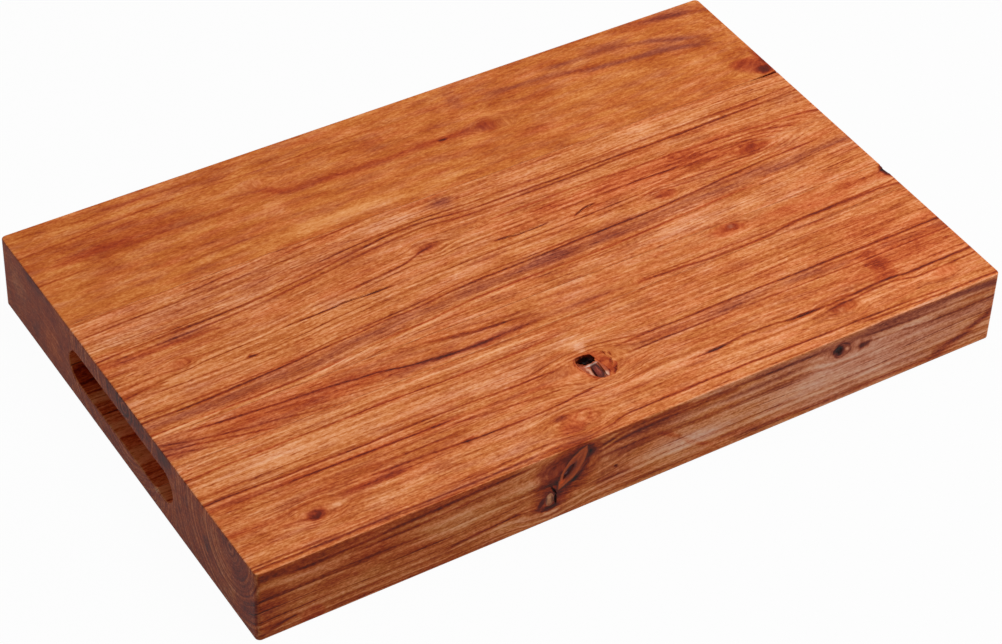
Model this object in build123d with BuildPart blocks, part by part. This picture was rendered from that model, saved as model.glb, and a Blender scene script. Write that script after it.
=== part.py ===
"""Carving board of hardwood staves glued edge to edge, with a finger grip routed into each end.

The board lies flat. X runs along its length and the grain, Y from the front edge to the rear edge, and Z up.
The origin is the middle of the underside. All sizes are in millimetres.
"""

import os

from build123d import *

# Staves and glue, named from the rear edge to the front edge
board_length = 450.0
board_thickness = 46.0
rear_stave_width = 82.4
wide_stave_width = 97.8
narrow_stave_width = 22.8
front_stave_width = 84.4
glue_thickness = 0.2

# Rounding of the finished board
corner_radius = 3.0
edge_radius = 1.5

# Finger grips: a slot with round ends, half way up each end of the board
grip_length = 118.0
grip_height = 21.0
grip_depth = 25.0
grip_to_rear = 3.5
grip_rim_radius = 0.8

# Dead knot in the top of the front stave: it leans, and a piece of its rear end has fallen out
top_knot_length = 21.0
top_knot_width = 10.5
top_knot_turn = 21.0
top_knot_depth = 9.0
top_knot_from_middle = -6.0
top_knot_from_front = 45.0
top_knot_gap_length = 6.5
top_knot_gap_depth = 6.0

# Leaf-shaped dead knot in the front face
front_knot_length = 29.0
front_knot_width = 10.5
front_knot_turn = -35.0
front_knot_depth = 16.0
front_knot_from_middle = -45.5
front_knot_height = 31.3

# Small dead knot below the leaf-shaped one
pin_knot_length = 8.5
pin_knot_width = 5.0
pin_knot_depth = 10.0
pin_knot_from_middle = -58.7
pin_knot_height = 15.3

strips = [
    ("rear_stave", rear_stave_width),
    ("rear_glue_line", glue_thickness),
    ("wide_stave", wide_stave_width),
    ("middle_glue_line", glue_thickness),
    ("narrow_stave", narrow_stave_width),
    ("front_glue_line", glue_thickness),
    ("front_stave", front_stave_width),
]
board_width = sum(width for name, width in strips)
rear_edge = board_width / 2
front_edge = -board_width / 2

top_face = Plane.XY.offset(board_thickness)
front_face = Plane(origin=(0, front_edge, 0), x_dir=(1, 0, 0), z_dir=(0, -1, 0))


def knot_plug(face, place, width, length, turn, depth):
    """A knot as it fills its socket: the stub of a branch, cut to an oval by the face of the board.

    Args:
        face: Plane of the board's surface, with its normal out of the wood.
        place: Middle of the oval on that plane.
        width: Short axis of the oval.
        length: Long axis of the oval, along the plane's Y before it is turned.
        turn: Angle of the long axis from the plane's Y, in degrees.
        depth: How far the knot reaches into the wood.

    Returns:
        The solid plug.
    """
    with BuildPart() as plug:
        with BuildSketch(face):
            with Locations(place):
                Ellipse(width / 2, length / 2, rotation=turn)
        extrude(amount=-depth)
    return plug.part


# The finished outside of the board, as it is machined after gluing
with BuildPart() as outside:
    with BuildSketch():
        Rectangle(board_length, board_width)
    extrude(amount=board_thickness)
    for end_direction in (-1, 1):
        end_face = Plane(
            origin=(end_direction * board_length / 2, grip_to_rear, board_thickness / 2),
            x_dir=(0, 1, 0),
            z_dir=(end_direction, 0, 0),
        )
        with BuildSketch(end_face):
            SlotOverall(grip_length, grip_height)
        extrude(amount=-grip_depth, mode=Mode.SUBTRACT)
    ends = outside.faces().filter_by(Axis.X).group_by(Axis.X)
    rims = [wire for end in (ends[0], ends[-1]) for face in end for wire in face.inner_wires()]
    fillet([edge for rim in rims for edge in rim.edges()], grip_rim_radius)
    fillet(outside.edges().filter_by(Axis.Z), corner_radius)
    fillet(outside.faces().sort_by(Axis.Z)[-1].edges(), edge_radius)
    fillet(outside.faces().sort_by(Axis.Z)[0].edges(), edge_radius)

# The dead knots as whole plugs
top_knot_place = Vector(top_knot_from_middle, front_edge + top_knot_from_front)
top_knot_gap_shift = Vector(0, -top_knot_gap_length).rotate(Axis.Z, top_knot_turn)
top_plug = knot_plug(top_face, top_knot_place, top_knot_width, top_knot_length, top_knot_turn, top_knot_depth)
front_plug = knot_plug(
    front_face,
    (front_knot_from_middle, front_knot_height),
    front_knot_width,
    front_knot_length,
    front_knot_turn,
    front_knot_depth,
)
pin_plug = knot_plug(
    front_face,
    (pin_knot_from_middle, pin_knot_height),
    pin_knot_width,
    pin_knot_length,
    0,
    pin_knot_depth,
)

# The board with its sockets for the knots
with BuildPart() as board:
    add(outside.part)
    add(top_plug, mode=Mode.SUBTRACT)
    add(front_plug, mode=Mode.SUBTRACT)
    add(pin_plug, mode=Mode.SUBTRACT)

# The dead knots, flush with the board's surface
with BuildPart() as top_knot:
    add(top_plug)
    with BuildSketch(top_face):
        with Locations(top_knot_place):
            Ellipse(top_knot_width / 2, top_knot_length / 2, rotation=top_knot_turn)
        with Locations(top_knot_place + top_knot_gap_shift):
            Ellipse(top_knot_width / 2, top_knot_length / 2, rotation=top_knot_turn, mode=Mode.SUBTRACT)
    extrude(amount=-top_knot_gap_depth, mode=Mode.SUBTRACT)
    add(outside.part, mode=Mode.INTERSECT)

with BuildPart() as front_knot:
    add(front_plug)
    add(outside.part, mode=Mode.INTERSECT)

with BuildPart() as pin_knot:
    add(pin_plug)
    add(front_plug, mode=Mode.SUBTRACT)
    add(outside.part, mode=Mode.INTERSECT)

# The staves and glue films, cut from the board side by side
pieces = {"top_knot": top_knot.part, "front_knot": front_knot.part, "pin_knot": pin_knot.part}
strip_rear = rear_edge
for name, width in strips:
    strip_front = strip_rear - width
    with BuildPart() as strip:
        add(board.part)
        split(bisect_by=Plane.XZ.offset(-strip_rear), keep=Keep.TOP)
        split(bisect_by=Plane.XZ.offset(-strip_front), keep=Keep.BOTTOM)
    pieces[name] = strip.part
    strip_rear = strip_front

os.makedirs("parts", exist_ok=True)
for name, piece in pieces.items():
    piece.label = name
    export_step(piece, f"parts/{name}.step")
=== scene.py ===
import logging
import math
from contextlib import contextmanager
from dataclasses import dataclass
from enum import Enum
from typing import Any, Callable, Iterator, Sequence, Union

import bmesh
import bpy
from mathutils import Euler, Matrix, Quaternion, Vector


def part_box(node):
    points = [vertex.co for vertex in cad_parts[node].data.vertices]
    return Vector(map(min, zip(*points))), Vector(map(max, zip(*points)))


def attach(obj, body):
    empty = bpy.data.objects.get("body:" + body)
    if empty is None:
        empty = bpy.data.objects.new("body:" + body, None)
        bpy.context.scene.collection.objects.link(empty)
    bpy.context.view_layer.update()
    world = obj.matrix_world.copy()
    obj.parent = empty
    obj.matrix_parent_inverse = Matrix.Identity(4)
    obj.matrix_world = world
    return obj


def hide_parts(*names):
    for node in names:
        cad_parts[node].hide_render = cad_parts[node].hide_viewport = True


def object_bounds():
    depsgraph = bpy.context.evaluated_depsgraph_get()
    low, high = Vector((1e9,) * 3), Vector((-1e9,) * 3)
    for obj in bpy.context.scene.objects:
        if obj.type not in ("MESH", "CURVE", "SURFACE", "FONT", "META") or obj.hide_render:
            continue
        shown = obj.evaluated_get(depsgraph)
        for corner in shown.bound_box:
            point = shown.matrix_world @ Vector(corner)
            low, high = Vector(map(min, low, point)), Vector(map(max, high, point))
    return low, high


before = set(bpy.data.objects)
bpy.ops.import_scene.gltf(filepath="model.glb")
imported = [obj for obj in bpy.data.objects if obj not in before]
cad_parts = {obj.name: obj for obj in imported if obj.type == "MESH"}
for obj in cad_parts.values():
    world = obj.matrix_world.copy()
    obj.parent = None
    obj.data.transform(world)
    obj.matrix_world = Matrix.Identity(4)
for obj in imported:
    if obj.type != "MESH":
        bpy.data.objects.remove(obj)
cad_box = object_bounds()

log = logging.getLogger("carving_board")

Point = tuple[float, float, float]
Rgba = tuple[float, float, float, float]
Number = Union["Value", float]

MM = 0.001
BODY = "root"
UNTURNED = (0.0, 0.0, 0.0)

# Size of the board in millimetres, from the frame.
BOARD_LENGTH = (cad_box[1][0] - cad_box[0][0]) / MM
BOARD_WIDTH = (cad_box[1][1] - cad_box[0][1]) / MM
BOARD_TOP = cad_box[1][2] / MM
BOARD_FRONT = cad_box[0][1] / MM

# Where the faces of the board are, in whole millimetres, for the places of its marks.
TOP = round(BOARD_TOP)
FRONT = round(BOARD_FRONT)
RIGHT = round(BOARD_LENGTH / 2)
LEFT = -RIGHT

# Size of the finger grips, and how far behind the middle of the board they are, in millimetres.
GRIP_LENGTH = 118.0
GRIP_HEIGHT = 21.0
GRIP_TO_REAR = 3.5

# Where the painted bounce light of the grips, which makes them redder, starts: behind the rim, at their
# ends and at their sides, in millimetres.
GRIP_RIM = (0.2, 1.2)
GRIP_ENDS = (2.0, 1.0)
GRIP_SIDES = (1.5, 0.9)

# How squarely a surface faces a way, from where it doesn't count as facing that way to where it does.
END_FACING = (0.6, 0.85)
SIDE_FACING = (0.6, 0.95)
TOP_FACING = (0.4, 0.8)
ARRIS_FACING = (0.97, 0.8)

# How the wood takes the light, and the painted light that is thrown from wall to wall in the finger grips
# and makes their walls redder.
SPECULAR = 0.1
WOOD_ROUGHNESS = 0.4
FIBRE_ROUGHNESS = 0.25
END_ROUGHNESS = 0.2
END_SHEEN = 0.12
SHEEN_ROUGHNESS = 0.35
GRIP_BOUNCE_LIGHT = (1.0, 0.68, 0.5, 1.0)

# How much bolder the rings are on the ends, in the grips and on the sides, and the specks' share of that.
END_BOLD = 0.8
GRIP_BOLD = 1.4
SIDE_BOLD = 0.6
SPECK_BOLD = 0.3

# How far the pith and the growth rings sway, and how far ragged and wavy marks wander, in millimetres.
PITH_SWAY = 6.0
RING_SWAY = 3.0
RING_RIPPLE = 1.2
RAGGED_REACH = 3.5
WAVY_REACH = 3.0

# Fibres: how fast they change along the board, across the rings and along a ring, and how fine they are.
FIBRE_ALONG = 0.04
FIBRE_ACROSS = 0.75
FIBRE_ASIDE = 0.35
FIBRE_DETAIL = 3.0
FIBRE_ROUGH = 0.68

# Growth rings: how their width changes, which part of a ring is late wood, and which rings show.
WIDTH_RATE = 0.16
WIDTH_SHIFT = 11.3
WIDTH_REACH = 4.0
RING_RAGGED = 0.4
LATE_START = (0.55, 0.94)
LATE_END = (1.0, 0.95)
RING_CHANCE = (0.45, 1.0)
RING_FADE = (0.35, 0.65)

# Fine lines, pores, and how far the redness and the plum colour of the wood change.
FINE_RATE = 0.5
FINE_SHIFT = 8.9
FINE_DETAIL = 3.0
PORE_LEVEL = (0.6, 0.75)
HUE_REACH = 2.2
CAST_REACH = 1.8
CAST_LEVEL = 0.05

# Grain round a knot: width of the parting in radii, length in widths, depth, push, and where its stain is.
PARTING_WIDTH = 2.6
PARTING_LENGTH = 1.8
PARTING_DEPTH = 22.0
PARTING_PUSH = 0.85
PARTING_CORE = 0.1
PARTING_STAIN = 0.55

# Streaks: how deep they go in millimetres, how soft they are, and how the fibres break them up.
STREAK_DEEP = 10
STREAK_SHALLOW = 3
STREAK_SOFT = 1.2
STREAK_GAPS = (0.62, 0.42)

# Softness of the inner edge of a hollow patch, and where the glue has its flecks.
RING_EDGE = 0.08
FLECK_LEVEL = (0.35, 0.65)

# Modelling: fineness of outlines and dents, smoothing of the shading, and distances that count as none.
ROUND_POINTS = 48
DENT_FINENESS = 3
SMOOTH_ANGLE = 35
FLAT_WEIGHT = 100
TOUCH = 0.1
SAW_REACH = 1e-6


def srgb(red: int, green: int, blue: int) -> Rgba:
    """Turns a colour as it looks on a screen into the linear colour that a shader reads.

    Args:
        red: Red, from 0 to 255.
        green: Green, from 0 to 255.
        blue: Blue, from 0 to 255.

    Returns:
        Linear red, green and blue, and an alpha of 1.
    """

    def linear(level: int) -> float:
        """One channel, by the sRGB curve."""
        share = level / 255
        return share / 12.92 if share <= 0.04045 else ((share + 0.055) / 1.055) ** 2.4

    return linear(red), linear(green), linear(blue), 1.0


class Value:
    """An output socket of a shader, with arithmetic: an expression on values adds its Math nodes."""

    def __init__(self, shader: "NodeTree", socket: bpy.types.NodeSocket) -> None:
        """Wraps a socket of a shader's node tree."""
        self.shader = shader
        self.socket = socket

    def __add__(self, other: Number) -> "Value":
        """Adds."""
        return self.shader.math("ADD", self, other)

    __radd__ = __add__

    def __mul__(self, other: Number) -> "Value":
        """Multiplies."""
        return self.shader.math("MULTIPLY", self, other)

    __rmul__ = __mul__

    def __sub__(self, other: Number) -> "Value":
        """Subtracts."""
        return self.shader.math("SUBTRACT", self, other)

    def __rsub__(self, other: Number) -> "Value":
        """Is subtracted from a number."""
        return self.shader.math("SUBTRACT", other, self)

    def __truediv__(self, other: Number) -> "Value":
        """Divides."""
        return self.shader.math("DIVIDE", self, other)

    def __abs__(self) -> "Value":
        """Drops the sign."""
        return self.shader.math("ABSOLUTE", self)


@dataclass(frozen=True)
class Layer:
    """One layer of soft noise: the size of its features, its place in the noise, and how fine it is."""

    grain: Point
    shift: float = 0.0
    detail: float = 2.0
    rough: float = 0.5


# Layers of noise in the wood and in the dead knots, in millimetres, and in the glue, in metres.
RAGGED = Layer((9, 3, 3), 51.0, 3.0, 0.55)
WAVY = Layer((50, 10, 10), 57.0, 3.0, 0.55)
SWAY = Layer((170, 45, 45))
RIPPLE = Layer((60, 9, 9), 3.7)
SPECK = Layer((2.6, 1.1, 1.1), 61.0, rough=0.7)
PORE = Layer((8, 0.8, 0.8), 81.0, 1.0)
FADE = Layer((60, 12, 12), 21.0, 1.0)
CLOUD = Layer((24, 7, 7), 31.0, 3.0)
HUE = Layer((30, 6, 6), 41.0, 3.0, 0.6)
CAST = Layer((25, 5, 5), 71.0, 3.0, 0.6)
KNOT_BENDS = Layer((3.5, 3.5, 3.5), 2.0, 3.0, 0.55)
KNOT_GRAIN = Layer((0.9, 0.9, 0.9), 7.0, 3.0, 0.65)
GLUE_GRAIN = Layer((0.012, 0.004, 0.004), detail=3.0)


class NodeTree:
    """The nodes of a material or of the world."""

    def __init__(self, tree: bpy.types.NodeTree) -> None:
        """Wraps Blender's own node tree."""
        self.tree = tree

    def node(
        self,
        kind: str,
        settings: dict[str, Any] | None = None,
        inputs: dict[str | int, Any] | None = None,
        output: str | int = 0,
    ) -> Value:
        """Adds any node.

        Args:
            kind: Blender's name of the node type.
            settings: Properties of the node; stops holds a ramp's stops and points a curve's points.
            inputs: Values or links of its sockets, by name or index.
            output: The socket to read, by name or index.

        Returns:
            That output.
        """
        node = self.tree.nodes.new(kind)
        for key, setting in (settings or {}).items():
            if key == "stops":
                self._set_stops(node.color_ramp, setting)
            elif key == "points":
                self._set_points(node.mapping, setting)
            else:
                setattr(node, key, setting)
        for key, given in (inputs or {}).items():
            self.feed(node.inputs[key], given)
        return Value(self, node.outputs[output])

    def _set_stops(self, ramp: bpy.types.ColorRamp, stops: Sequence[tuple[float, Rgba]]) -> None:
        """Sets the stops of a colour ramp.

        Args:
            ramp: The ramp.
            stops: A position and a colour for each stop.
        """
        while len(ramp.elements) < len(stops):
            ramp.elements.new(1.0)
        for element, (position, colour) in zip(ramp.elements, stops):
            element.position = position
            element.color = colour

    def _set_points(self, mapping: bpy.types.CurveMapping, points: Sequence[tuple[float, float]]) -> None:
        """Sets the points of a float curve.

        Args:
            mapping: The curve.
            points: Its points, between 0 and 1 both ways.
        """
        mapping.extend = "HORIZONTAL"
        curve = mapping.curves[0]
        for position, value in points[1:-1]:
            curve.points.new(position, value)
        for place, given in ((0, points[0]), (-1, points[-1])):
            curve.points[place].location = given
        mapping.update()

    def feed(self, socket: bpy.types.NodeSocket, given: Any) -> None:
        """Links a value to an input socket, or sets a constant on it.

        Args:
            socket: The input.
            given: A value or a constant.
        """
        if isinstance(given, Value):
            self.tree.links.new(given.socket, socket)
        else:
            socket.default_value = given

    def math(self, operation: str, *operands: Number) -> Value:
        """Adds a Math node on values and numbers."""
        return self.node("ShaderNodeMath", {"operation": operation}, dict(enumerate(operands)))

    def step(self, value: Number, low: float, high: float) -> Value:
        """A smooth step from 0 at low to 1 at high, where low may be the larger."""
        inputs = {"Value": value, "From Min": low, "From Max": high}
        return self.node("ShaderNodeMapRange", {"interpolation_type": "SMOOTHSTEP"}, inputs)

    def vector(self, operation: str, *operands: Any, output: str = "Vector") -> Value:
        """Adds a Vector Math node on vectors."""
        inputs = dict(enumerate(operands))
        return self.node("ShaderNodeVectorMath", {"operation": operation}, inputs, output)

    def scaled(self, vector: Any, factor: Number) -> Value:
        """A vector times a number."""
        inputs = {"Vector": vector, "Scale": factor}
        return self.node("ShaderNodeVectorMath", {"operation": "SCALE"}, inputs)

    def split(self, vector: Value) -> tuple[Value, Value, Value]:
        """Takes a vector or a colour apart.

        Args:
            vector: The vector or colour.

        Returns:
            Its three parts.
        """
        kind = "ShaderNodeSeparateColor" if vector.socket.type == "RGBA" else "ShaderNodeSeparateXYZ"
        first, second, third = self.node(kind, None, {0: vector}).socket.node.outputs
        return Value(self, first), Value(self, second), Value(self, third)

    def combine(self, x: Number, y: Number, z: Number) -> Value:
        """A vector from its three parts."""
        return self.node("ShaderNodeCombineXYZ", None, {0: x, 1: y, 2: z})

    def turned(self, vector: Value, turn: Matrix) -> Value:
        """A vector as seen in a frame that is turned."""
        axes = (tuple(axis) for axis in turn.transposed())
        return self.combine(*(self.vector("DOT_PRODUCT", vector, axis, output="Value") for axis in axes))

    def spread(self, vector: Value, centre: Sequence[float], size: Sequence[float]) -> Value:
        """How far from the centre of an ellipsoid a point is.

        Args:
            vector: The point.
            centre: Centre of the ellipsoid.
            size: Its half axes.

        Returns:
            The distance, which is 1 on the skin.
        """
        scale = tuple(1 / reach for reach in size)
        shift = tuple(-place / reach for place, reach in zip(centre, size))
        return self.vector("LENGTH", self.vector("MULTIPLY_ADD", vector, scale, shift), output="Value")

    def stretch(self, vector: Value, grain: Point, shift: float) -> Value:
        """Coordinates for a texture whose features are about grain long along X, Y and Z.

        Args:
            vector: Coordinates in millimetres.
            grain: Size of the texture's features along each axis.
            shift: Moves the texture, so that each stave has another part of it.

        Returns:
            The stretched coordinates.
        """
        scale = tuple(1 / size for size in grain)
        inputs = {"Vector": vector, "Location": (shift,) * 3, "Scale": scale}
        return self.node("ShaderNodeMapping", None, inputs)

    def noise(self, vector: Value, detail: float = 2.0, rough: float = 0.5, output: str = "Fac") -> Value:
        """Soft three-dimensional noise from 0 to 1."""
        inputs = {"Vector": vector, "Scale": 1.0, "Detail": detail, "Roughness": rough}
        return self.node("ShaderNodeTexNoise", {"noise_dimensions": "3D"}, inputs, output)

    def layer(self, place: Value, layer: Layer, seed: float = 0.0, output: str = "Fac") -> Value:
        """Soft noise of one layer, from 0 to 1."""
        stretched = self.stretch(place, layer.grain, seed + layer.shift)
        return self.noise(stretched, layer.detail, layer.rough, output)

    def wander(self, place: Value, layer: Layer, reach: float, seed: float = 0.0) -> Value:
        """Coordinates that wander from the true ones.

        Args:
            place: True coordinates, in millimetres.
            layer: The noise that bends them.
            reach: How far they wander, in millimetres.
            seed: Another number gives other bends.

        Returns:
            The uneven coordinates.
        """
        bends = self.split(self.layer(place, layer, seed, "Color"))
        push = self.combine(*((part - 0.5) * reach for part in bends))
        return self.vector("ADD", push, place)

    def noise_along(self, value: Value, shift: float, detail: float = 1.0) -> Value:
        """Soft noise from 0 to 1 along one number."""
        inputs = {"W": value + shift, "Scale": 1.0, "Detail": detail}
        return self.node("ShaderNodeTexNoise", {"noise_dimensions": "1D"}, inputs)

    def seen(self) -> Value:
        """Tells what the camera sees from what only lights other things.

        Returns:
            1 where the camera sees a surface straight, in a mirror or through glass, and 0 for other light.
        """
        rays = ("Is Camera Ray", "Is Glossy Ray", "Is Transmission Ray")
        straight, mirrored, through = (self.node("ShaderNodeLightPath", output=ray) for ray in rays)
        return straight + mirrored + through

    def mix(self, share: Number, first: Any, second: Any, blend: str = "MIX") -> Value:
        """Mixes two colours, through the sockets that the node has for colours."""
        settings = {"data_type": "RGBA", "blend_type": blend}
        return self.node("ShaderNodeMix", settings, {0: share, 6: first, 7: second}, 2)


class Shader(NodeTree):
    """The nodes of one material, with a Principled shader that its finish feeds."""

    def __init__(self, name: str) -> None:
        """Makes a material.

        Args:
            name: Its name.
        """
        self.material = bpy.data.materials.new(name)
        self.material.use_nodes = True
        super().__init__(self.material.node_tree)
        self.principled = self.tree.nodes["Principled BSDF"]

    def give(self, name: str, given: Any) -> None:
        """Feeds a socket of the Principled shader, or sets a constant on it."""
        self.feed(self.principled.inputs[name], given)

    def emboss(self, height: Value, strength: float, distance: float) -> None:
        """Makes the surface uneven by a height from 0 to 1, over a distance in metres."""
        inputs = {"Strength": strength, "Distance": distance, "Height": height}
        self.give("Normal", self.node("ShaderNodeBump", None, inputs))


class Sky(NodeTree):
    """The nodes of the world."""

    def __init__(self, name: str) -> None:
        """Makes a world.

        Args:
            name: Its name.
        """
        self.world = bpy.data.worlds.new(name)
        self.world.use_nodes = True
        super().__init__(self.world.node_tree)
        self.background = self.tree.nodes["Background"]


class Face(Enum):
    """The face of the board that a mark lies on."""

    TOP = "top"
    FRONT = "front"


@dataclass(frozen=True)
class Path:
    """A smooth line along the board: pairs of a place along X and a place across, in millimetres."""

    points: tuple[tuple[float, float], ...]

    @property
    def start(self) -> float:
        """Where the path starts along X."""
        return self.points[0][0]

    @property
    def end(self) -> float:
        """Where the path ends along X."""
        return self.points[-1][0]

    def shade(self, shader: Shader, along: Value) -> Number:
        """The same path in a shader.

        Args:
            shader: The shader that gets the nodes.
            along: Place along the board, from 0 at one end to 1 at the other.

        Returns:
            The place across there.
        """
        lowest = min(across for _, across in self.points)
        reach = max(across for _, across in self.points) - lowest
        if reach == 0:
            return lowest
        points = [(x / BOARD_LENGTH + 0.5, (across - lowest) / reach) for x, across in self.points]
        curve = shader.node("ShaderNodeFloatCurve", {"points": points}, {"Value": along})
        return shader.math("MULTIPLY_ADD", curve, reach, lowest)


@dataclass(frozen=True)
class Tint:
    """What a mark does to the wood: makes it darker, redder or more like plum."""

    dark: float = 0.0
    ruddy: float = 0.0
    plum: float = 0.0


class Tone:
    """Darkness, redness and plum colour of the wood, added up as a shader is made."""

    def __init__(self) -> None:
        """Starts with none of them."""
        self.dark: Number = 0.0
        self.ruddy: Number = 0.0
        self.plum: Number = 0.0

    def add(self, mask: Value, tint: Tint) -> None:
        """Adds a tint.

        Args:
            mask: 1 where the tint is, and 0 elsewhere.
            tint: The tint.
        """
        if tint.dark:
            self.dark = mask.shader.math("MULTIPLY_ADD", mask, tint.dark, self.dark)
        if tint.ruddy:
            self.ruddy = mask.shader.math("MULTIPLY_ADD", mask, tint.ruddy, self.ruddy)
        if tint.plum:
            self.plum = mask.shader.math("MULTIPLY_ADD", mask, tint.plum, self.plum)


# Tints of the grips' walls, which paint the light thrown from wall to wall there, of the ends, whose cut
# fibres drink more oil, and of the arrises, which paints a highlight on them.
GRIP_BOUNCE_TINT = Tint(-0.2, 0.5, -0.6)
END_TINT = Tint(0.22, 0.8, 0.35)
ARRIS_HIGHLIGHT_TINT = Tint(-0.1, -0.2, 0.3)


@dataclass(frozen=True)
class Knot:
    """A small branch that ends on a face: the grain parts round it. Lengths are in millimetres."""

    place: tuple[float, float]
    radius: float
    tint: Tint = Tint(0.08, 0.3)
    face: Face = Face.TOP


@dataclass(frozen=True)
class Streak:
    """A line of colour along the grain of one face, in millimetres."""

    points: tuple[tuple[float, float], ...]
    width: float
    tint: Tint
    face: Face = Face.TOP
    fade: float = 18.0
    broken: float = 0.4


@dataclass(frozen=True)
class Patch:
    """A soft ellipsoid of another tone in the wood, or a ring if hollow, in millimetres and degrees."""

    place: Point
    size: Point
    tint: Tint
    turn: Point = UNTURNED
    core: float = 0.15
    hollow: float = 0.0


@dataclass(frozen=True)
class Palette:
    """The colours of the wood from pale to black, in three casts."""

    levels: tuple[float, ...] = (-0.3, 0.0, 0.25, 0.4, 0.6, 0.8, 1.0, 1.5)
    warm: tuple[Rgba, ...] = (
        srgb(240, 186, 138),
        srgb(233, 164, 117),
        srgb(214, 134, 79),
        srgb(196, 111, 54),
        srgb(172, 83, 30),
        srgb(149, 60, 15),
        srgb(112, 35, 6),
        srgb(24, 9, 6),
    )
    ruddy: tuple[Rgba, ...] = (
        srgb(240, 176, 132),
        srgb(231, 150, 106),
        srgb(213, 118, 69),
        srgb(194, 95, 46),
        srgb(168, 67, 25),
        srgb(143, 46, 13),
        srgb(106, 27, 7),
        srgb(24, 8, 6),
    )
    plum: tuple[Rgba, ...] = (
        srgb(232, 186, 158),
        srgb(220, 156, 126),
        srgb(201, 124, 91),
        srgb(180, 100, 67),
        srgb(150, 72, 47),
        srgb(122, 49, 33),
        srgb(87, 29, 20),
        srgb(20, 8, 8),
    )

    def shade(self, shader: Shader, tone: Tone) -> Value:
        """The colour of a tone.

        Args:
            shader: The shader that gets the nodes.
            tone: Darkness, redness and plum colour.

        Returns:
            The colour.
        """
        palest = self.levels[0]
        reach = self.levels[-1] - palest
        depth = (tone.dark - palest) / reach

        def ramp(colours: tuple[Rgba, ...]) -> Value:
            """One cast of the wood by depth."""
            stops = [((level - palest) / reach, colour) for level, colour in zip(self.levels, colours)]
            return shader.node("ShaderNodeValToRGB", {"stops": stops}, {"Fac": depth})

        redder = shader.mix(tone.ruddy, ramp(self.warm), ramp(self.ruddy))
        return shader.mix(tone.plum, redder, ramp(self.plum))


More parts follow.
